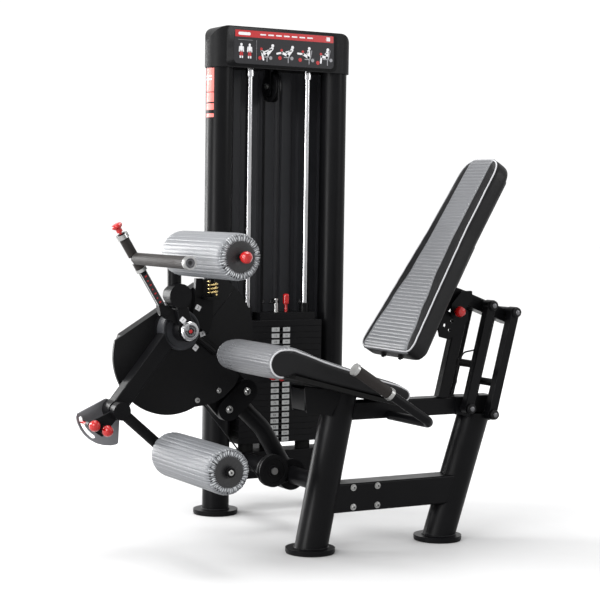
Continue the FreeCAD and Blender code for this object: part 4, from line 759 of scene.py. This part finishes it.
def printed(origin, outlines, lift=0.3, across=RIGHT, upward=UP, out=NEAR):
    """Flat shapes, drawn in millimetres on a face, with a thickness of lift."""
    parts = []
    for outline in outlines:
        parts.append(prism(Vector(origin) * MM, across * MM, upward * MM, outline, lift, out * MM))
    return merged(parts)


# Each digit is made once, as a flat shape one unit tall.
glyphs = {}
for digit in "0123456789":
    curve = bpy.data.curves.new("digit", "FONT")
    curve.body = digit
    curve.size = 1.0
    curve.extrude = 0.01
    curve.align_x = "CENTER"
    curve.align_y = "CENTER"
    curve.resolution_u = 3
    glyph = bpy.data.objects.new("digit", curve)
    bpy.context.scene.collection.objects.link(glyph)
    bpy.context.view_layer.update()
    flat = bpy.data.meshes.new_from_object(glyph.evaluated_get(bpy.context.evaluated_depsgraph_get()))
    glyphs[digit] = ([v.co.copy() for v in flat.vertices], [tuple(f.vertices) for f in flat.polygons])
    bpy.data.objects.remove(glyph)


def number(text, centre, tall, across=RIGHT, upward=UP, out=NEAR):
    """Digits side by side on a face, in millimetres, a fifth of a millimetre proud."""
    parts = []
    for n, digit in enumerate(text):
        shift = (n - (len(text) - 1) / 2) * tall * 0.62
        points, faces = glyphs[digit]
        start = Vector(centre) + across * shift
        placed = [start + across * (p.x * tall) + upward * (p.y * tall) + out * (p.z * 20) for p in points]
        parts.append(([p * MM for p in placed], faces))
    return merged(parts)


def print_on(name, parts, mat, body="frame", slot="placard_face"):
    """Flat pieces joined into one, in a print colour."""
    return solid(name, *merged(parts), extra[mat], body, slot, smooth=False)


# The placard shows how the machine is used, with plain figures and no lettering.
# Outlines are drawn in millimetres from the placard's lower left corner.
PLACARD = (55, 641, 1507)
print_on("placard_strip", [printed((55, 640.9, 1507), [box_outline(2.5, 88, 379.5, 110.5, 1.5)])], "red")
rules = [box_outline(82.5, 14, 83.3, 80), box_outline(14, 78, 68, 79)]
print_on("placard_rules", [printed(PLACARD, rules)], "dim")
marks = [box_outline(14, 94, 60, 104, 5), box_outline(352, 93, 366, 106)]
marks += [box_outline(96 + 30 * n, 97, 118 + 30 * n, 101.5, 2) for n in range(7)]
print_on("placard_marks", [printed((55, 640.6, 1507), marks)], "pale")

# Four seated figures: head, hip, knee, ankle and roller.
SEATED = [((144, 65), (121, 32), (103, 44), (109, 17), (96, 22)),
          ((220, 64), (202, 35), (180, 44), (161, 40), (172, 26)),
          ((285, 64), (283, 33), (262, 44), (241, 45), (250, 24)),
          ((358, 64), (355, 37), (333, 40), (331, 19), (319, 18))]
people, accents, machines = [], [], []
for head, hip, knee, ankle, roll in SEATED:
    neck = (head[0] - 2, head[1] - 9)
    people += [dot(head, 5.2), stroke(neck, hip, 5.2), stroke(hip, knee, 4.2), stroke(knee, ankle, 3.2),
               stroke((neck[0] - 2, neck[1] - 3), (hip[0] - 7, hip[1] + 12), 2.0)]
    accents += [dot(roll, 6.5), dot((knee[0] - 2, knee[1] + 8), 4.6)]
    machines += [stroke((hip[0] + 12, hip[1] + 24), (hip[0] + 6, hip[1] - 4), 1.6),
                 dot((hip[0] + 16, hip[1] - 8), 6.0),
                 stroke((hip[0] + 6, hip[1] - 6), (hip[0] - 14, hip[1] - 6), 1.6),
                 stroke((hip[0] + 2, hip[1] - 8), (hip[0] + 2, 12), 1.6)]
for u in (26, 57):
    people += [dot((u, 63), 4.2), stroke((u, 55), (u, 42), 5.0), stroke((u - 3, 40), (u - 4, 20), 2.4),
               stroke((u + 3, 40), (u + 4, 20), 2.4), stroke((u - 7, 55), (u - 8, 40), 1.7),
               stroke((u + 7, 55), (u + 8, 40), 1.7)]
    accents += [stroke((u - 3, 37), (u - 3.6, 28), 2.6), stroke((u + 3, 37), (u + 3.6, 28), 2.6)]
print_on("placard_machines", [printed(PLACARD, machines, 0.2)], "dim")
print_on("placard_figures", [printed(PLACARD, people, 0.4)], "pale")
print_on("placard_accents", [printed(PLACARD, accents, 0.6)], "red")
cover_panel = printed((0, 644, 0), [box_outline(27, 1498, 449, 1627, 17)], 1.4)
solid("cover_panel", *cover_panel, finish["moulded_cover"], "frame", "moulded_cover")


WRAP = 13                            # points across a wrapped patch


def wrapped(centre, radius, turns, heights, lift=0.3):
    """A thin patch on an upright tube: turns are degrees about its axis, all in millimetres."""
    points = []
    for reach in (radius, radius + lift):
        for z in heights:
            for k in range(WRAP):
                angle = math.radians(turns[0] + (turns[1] - turns[0]) * k / (WRAP - 1))
                spot = Vector((centre[0] + reach * math.cos(angle), centre[1] + reach * math.sin(angle), z))
                points.append(spot * MM)
    in_low, in_high, out_low, out_high = (row * WRAP for row in range(4))
    faces = []
    for a, b in ((out_low, out_high), (in_high, in_low), (in_low, out_low), (out_high, in_high)):
        faces += [(k + a, k + a + 1, k + b + 1, k + b) for k in range(WRAP - 1)]
    last = WRAP - 1
    faces.append((in_low, out_low, out_high, in_high))
    faces.append((in_low + last, in_high + last, out_high + last, out_low + last))
    return points, faces


LEFT_COLUMN = (32, 696)
COLUMN_R = 45
bars = [(1412, 1490), (1378, 1409), (1352, 1373), (1328, 1340)]
print_on("column_bars", [wrapped(LEFT_COLUMN, COLUMN_R, (144, 216), z) for z in bars], "pink",
         slot="black_frame")
bars = [(1462, 1466), (1450, 1456)]
print_on("column_marks", [wrapped(LEFT_COLUMN, COLUMN_R + 0.3, (150, 205), z) for z in bars], "pale",
         slot="black_frame")

# Weight labels: two strips of plain numbers down the front of the plates, heaviest at the foot.
PLATE_LOW = 234
PITCH = 20.8
PLATES = 20
RESTING = 10
LABEL_GAP = 3.2
LABEL_TALL = 14.4
KILO_STEP, POUND_STEP = 5, 11
for body, first, last in (("frame", 0, RESTING), ("lifted_stack", RESTING, PLATES - 1)):
    strips, figures = [], []
    for n in range(first, last):
        low = PLATE_LOW + n * PITCH + LABEL_GAP
        high = low + LABEL_TALL
        strips.append(printed((0, 648, 0), [box_outline(213.5, low, 243.6, high, 1.5),
                                            box_outline(257.0, low, 284.5, high, 1.5)]))
        figures.append(number(str(KILO_STEP * (PLATES - n)), (229, 647.6, low + 7), 10))
        figures.append(number(str(POUND_STEP * (PLATES - n)), (270.5, 647.6, low + 7), 7.5))
    print_on("weight_labels_" + body, strips, "label", body, "steel_plates")
    print_on("weight_numbers_" + body, figures, "ink", body, "steel_plates")

# A nut at the foot of the lifting stud, and small studs along the stack's head.
HEAD_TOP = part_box("head_plate")[1].z / MM


def upright(profile, x, y, z, sides):
    """A revolved outline that stands at a place, in millimetres."""
    return turned([(r * MM, h * MM) for r, h in profile], Vector((x, y, z)) * MM, UP, sides)


NUT = [(8.4, 0), (15, 0), (15, 9), (13.5, 10.5), (8.4, 10.5)]
NECK = [(8.4, 10.5), (12, 10.5), (12, 17), (8.4, 17)]
STUD = [(0.1, 0), (7, 0), (7, 5), (5.8, 6.5), (4, 6.5), (4, 12), (0.1, 12)]
fittings = [upright(NUT, 251, 696, HEAD_TOP, 6), upright(NECK, 251, 696, HEAD_TOP, 32)]
fittings += [upright(STUD, x, 668, HEAD_TOP, 6) for x in (190, 218, 330)]
solid("head_fittings", *merged(fittings), finish["pulley_black"], "lifted_stack", "pulley_black")

# Sockets in bolt heads, drawn as flat dark hexagons that are painted shade in place of their recesses; the
# ends of the hinge pins; and rings in the axle cap.
hexagon = [(math.cos(TAU * k / 6), math.sin(TAU * k / 6)) for k in range(6)]


def hex_at(x, y, z, size):
    """A hexagon on a face that looks forward."""
    return printed((x, y, z), [[(u * size, v * size) for u, v in hexagon]], 0.3)


socket_shades = [hex_at(x, -46, z, 3.0) for x in (124.5, 210) for z in (134, 193)]
socket_shades += [hex_at(x, 326, z, 4.6) for x, z in ((-44, 453), (-106, 398))]
socket_shades += [hex_at(x, 306, z, 2.6) for x, z in ((-229, 435), (-155, 462))]
print_on("bolt_socket_shade", socket_shades, "ink", slot="zinc_steel")

PIN_COLLAR = [(8.2, 0), (14.5, 0), (15.5, 1.5), (15.5, 5), (13.5, 8.5), (9.2, 9.5), (8.2, 8.5)]
PIN_HEAD = [(0.1, 6), (8.0, 6), (8.0, 9.5), (6.8, 11), (0.1, 11)]


def around(profile, x, y, z, way):
    """A revolved outline about an axis that starts at a place, in millimetres."""
    return turned([(r * MM, h * MM) for r, h in profile], Vector((x, y, z)) * MM, way, 40)


def pin_ends(name, centres, reach, body):
    """A dark collar and a zinc bolt head at both ends of each hinge pin."""
    collars, heads = [], []
    for x, z in centres:
        for side in (-1, 1):
            collars.append(around(PIN_COLLAR, x, side * reach, z, SIDE * side))
            heads.append(around(PIN_HEAD, x, side * reach, z, SIDE * side))
    solid(name + "_collars", *merged(collars), finish["pulley_black"], body, "pulley_black")
    solid(name + "_heads", *merged(heads), extra["bolt"], body, "zinc_steel")


pin_ends("lower_pin", [(523, 417), (612, 394)], 80, "frame")
pin_ends("upper_pin", [(603, 736), (693, 713)], 76, "backrest")

PIVOT = (-316, 659)
cap_ring = [(19, 0), (19, 0.5), (21, 0.5), (21, 0)]
fine_ring = [(12, 0), (12, 0.4), (13, 0.4), (13, 0)]
rings = merged([around(ring, PIVOT[0], 182, PIVOT[1], NEAR) for ring in (cap_ring, fine_ring)])
solid("axle_cap_rings", *rings, extra["dim"], "frame", "chrome_rod")
cap_dot = around([(0.1, 0), (0.1, 0.9), (5, 0.9), (5.8, 0)], PIVOT[0], 182, PIVOT[1], NEAR)
solid("axle_cap_dot", *cap_dot, extra["red"], "frame", "chrome_rod")
TAGS = [("frame", (-238, 294, 722), -30, "2"), ("frame", (-214, 311, 640), 20, "4"),
        ("frame", (-237, 311, 598), 50, "5"), ("hold_down", (-334, 200, 692), -40, "1")]
for n, (body, (x, y, z), tilt, text) in enumerate(TAGS):
    across = Vector((math.cos(math.radians(tilt)), 0, math.sin(math.radians(tilt))))
    upward = Vector((-across.z, 0, across.x))
    tag = printed((x, y, z), [box_outline(-9, -8, 9, 8, 2)], 0.4, across, upward)
    print_on("pivot_tag_%d" % n, [tag], "pale", body, "black_frame")
    digits = number(text, (x, y - 0.4, z), 11, across, upward)
    print_on("pivot_number_%d" % n, [digits], "ink", body, "black_frame")

# A bolt head and socket on the lower roller's axle, and rings on the cross grip's end; each socket is a
# flat dark hexagon, painted shade in place of its recess.
bolt = around([(0.1, 0), (8, 0), (8, 3), (6.5, 4), (0.1, 4)], -375, -203.5, 295, NEAR)
solid("roller_bolt", *bolt, finish["zinc_steel"], "roller_arm", "zinc_steel")
print_on("roller_socket_shade", [hex_at(-375, -207.5, 295, 3.4)], "ink", "roller_arm", "zinc_steel")
GRIP_END = (-482, -152, 875.4)
ring_outlines = [[(low, 0), (low, 0.5), (low + 1.4, 0.5), (low + 1.4, 0)] for low in (8, 13)]
rings = merged([around(ring, *GRIP_END, NEAR) for ring in ring_outlines])
solid("grip_end_rings", *rings, extra["dim"], "hold_down", "chrome_rod")
print_on("grip_end_socket_shade", [hex_at(*GRIP_END, 4.2)], "ink", "hold_down", "chrome_rod")

# Scale on the inclined bar.
BAR_WAY = Vector((-145, 0, 234)).normalized()
BAR_ACROSS = Vector((BAR_WAY.z, 0, -BAR_WAY.x))
BAR_FOOT = (-385, 216, 719)
ticks = [box_outline(-3, 30 + 15 * n, 1 if n % 2 else 4, 34 + 15 * n) for n in range(7)]
edges = [box_outline(-11, 14, -9.6, 138), box_outline(9.6, 14, 11, 138)]
ticks = printed(BAR_FOOT, ticks, 0.3, BAR_ACROSS, BAR_WAY)
edges = printed(BAR_FOOT, edges, 0.5, BAR_ACROSS, BAR_WAY)
print_on("scale_ticks", [ticks], "red", "hold_down", "silver_scale")
print_on("scale_edges", [edges], "chrome", "hold_down", "silver_scale")

# Weld beads where the tubes stand on their foot plates, and the tag on the base beam.
welds = []
wander = random.Random(5)
SEAM_POINTS = 90
SEAMS = [(3.3, 0, 51.4, 50.4), (466.3, 0, 53, 50.4), (32, 696, 45.6, 45.6), (470, 696, 45.6, 45.6)]
for x, y, long, wide in SEAMS:
    turns = [TAU * k / SEAM_POINTS for k in range(SEAM_POINTS)]
    path = [Vector((x + long * math.cos(a), y + wide * math.sin(a), 17.2)) * MM for a in turns]
    welds.append(tube(path, lambda t: (2.2 + 0.5 * wander.random()) * MM, 8, closed=True))
solid("weld_beads", *merged(welds), extra["weld"], "frame", "black_frame")
beam_tag = printed((375, 651, 140), [box_outline(0, 0, 13, 26, 2)])
print_on("beam_tag", [beam_tag], "orange", slot="placard_face")

# Two rubber stops at the foot of the back pad.
STOP = [(9, 0), (9, 6), (7.5, 8), (5, 8), (5, 12), (0.1, 12)]
stops = []
for u in (-58, 38):
    foot = REST_FOOT + SIDE * (u * MM) - REST_OUT * (34 * MM) + REST_UP * (3 * MM)
    stops.append(turned([(r * MM, h * MM) for r, h in STOP], foot, -REST_UP, 28))
solid("rest_stops", *merged(stops), finish["rubber_black"], "backrest", "rubber_black")

# A ridge on the cover runs from the axle to the seat's roll.
ridge = [Vector(p) * MM for p in ((-262, 309, 648), (-240, 308, 634), (-205, 308, 607), (-170, 309, 580))]
ridge = tube(smooth_path(ridge, 6 * MM), 8 * MM, 16)
solid("cover_ridge", *ridge, finish["black_frame"], "frame", "black_frame")

# The lifting cable above the stack is three laid strands, and rides up with the stack.
STRANDS = 3
STRAND_R = 2.1 * MM
LAY_R = 0.35 * MM
LAY_TURNS = 20
STRAND_STEPS = 120
low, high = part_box("stack_cable")
centre = (low + high) / 2
strands = []
for k in range(STRANDS):
    path = []
    for n in range(STRAND_STEPS + 1):
        angle = TAU * (LAY_TURNS * n / STRAND_STEPS + k / STRANDS)
        z = low.z + (high.z - low.z) * n / STRAND_STEPS
        path.append(Vector((centre.x + LAY_R * math.cos(angle), centre.y + LAY_R * math.sin(angle), z)))
    strands.append(tube(path, STRAND_R, 8))
hoist = solid("hoist_cable", *merged(strands), finish["black_cable"], "lifted_stack", "black_cable")
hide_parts("stack_cable")
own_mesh(hoist)

# ---- Studio ----

def studio():
    """A wide pale floor under a bright even surround, with soft lamps; the floor is painted darker near the
    machine, painted shade that evens out the lamps' pool of light and greys the floor round the feet.
    """
    points = [Vector((x, y, -0.0005)) for x in (-40.0, 40.0) for y in (-40.0, 40.0)]
    mesh = bpy.data.meshes.new("floor")
    mesh.from_pydata([tuple(p) for p in points], [], [(0, 2, 3, 1)])
    floor = bpy.data.objects.new("floor", mesh)
    bpy.context.scene.collection.objects.link(floor)
    paint = surface("floor_paint_and_shade", (0.955, 0.955, 0.955), 0.6, relief=0.01, mottle=0.004, rounding=0,
                    specular=0.1)
    tree = paint.node_tree
    # Painted shade: the floor's colour darkens from 0.955 far out to 0.44 near the machine.
    where = node(tree, "ShaderNodeTexCoord")
    away = node(tree, "ShaderNodeVectorMath", operation="LENGTH")
    tone = node(tree, "ShaderNodeMix", data_type="RGBA")
    tone.inputs[6].default_value = (0.44, 0.44, 0.442, 1)
    tone.inputs[7].default_value = (0.955, 0.955, 0.955, 1)
    tree.links.new(where.outputs["Object"], away.inputs[0])
    tree.links.new(ranged(tree, away.outputs["Value"], 0, 1, 0.9, 5.0), tone.inputs[0])
    tree.links.new(tone.outputs[2], tree.nodes["Principled BSDF"].inputs["Base Color"])
    floor.data.materials.append(paint)
    world = bpy.data.worlds.new("studio")
    world.use_nodes = True
    world.node_tree.nodes["Background"].inputs["Color"].default_value = (1.0, 1.0, 1.0, 1)
    world.node_tree.nodes["Background"].inputs["Strength"].default_value = 1.08
    bpy.context.scene.world = world
    bpy.context.scene.view_settings.view_transform = "Standard"
    lamps = [("key", (-4.2, -2.2, 3.4), (0, 0.2, 0.7), 2.4, 180),
             ("fill", (3.6, -3.4, 2.4), (0.1, 0.3, 0.7), 1.2, 60),
             ("top", (0.2, 0.4, 4.2), (0.1, 0.2, 0.6), 2.4, 170),
             ("rim", (-3.6, 2.8, 2.4), (0.1, 0.3, 0.9), 1.4, 170),
             ("edge", (-2.0, 4.8, 1.2), (0.0, 0.6, 0.8), 2.0, 170),
             ("strip", (-4.6, -0.7, 1.0), (0, 0.2, 0.7), 1.5, 150)]
    for name, place, target, size, power in lamps:
        light = bpy.data.lights.new(name, "AREA")
        light.size = size
        light.energy = power
        obj = bpy.data.objects.new(name, light)
        obj.location = place
        obj.rotation_euler = (Vector(target) - Vector(place)).to_track_quat("-Z", "Y").to_euler()
        bpy.context.scene.collection.objects.link(obj)


CAMERA_PLACE = Vector((-2.4651, -4.2480, 1.0288))
CAMERA_TURNS = (29.65, 3.158, -0.816)
CAMERA_LENS = 99.15


def camera():
    """The photograph's view: a long lens from the front left of the seat."""
    yaw, pitch, roll = (math.radians(a) for a in CAMERA_TURNS)
    ahead = Vector((math.sin(yaw) * math.cos(pitch), math.cos(yaw) * math.cos(pitch), -math.sin(pitch)))
    level = Vector((math.cos(yaw), -math.sin(yaw), 0))
    down = ahead.cross(level)
    right = level * math.cos(roll) + down * math.sin(roll)
    lower = down * math.cos(roll) - level * math.sin(roll)
    data = bpy.data.cameras.new("camera")
    data.lens = CAMERA_LENS
    data.sensor_width = 36.0
    data.clip_end = 60
    obj = bpy.data.objects.new("camera", data)
    turn = Matrix((right, -lower, -ahead)).transposed().to_4x4()
    obj.matrix_world = Matrix.Translation(CAMERA_PLACE) @ turn
    bpy.context.scene.collection.objects.link(obj)
    bpy.context.scene.camera = obj


studio()
camera()
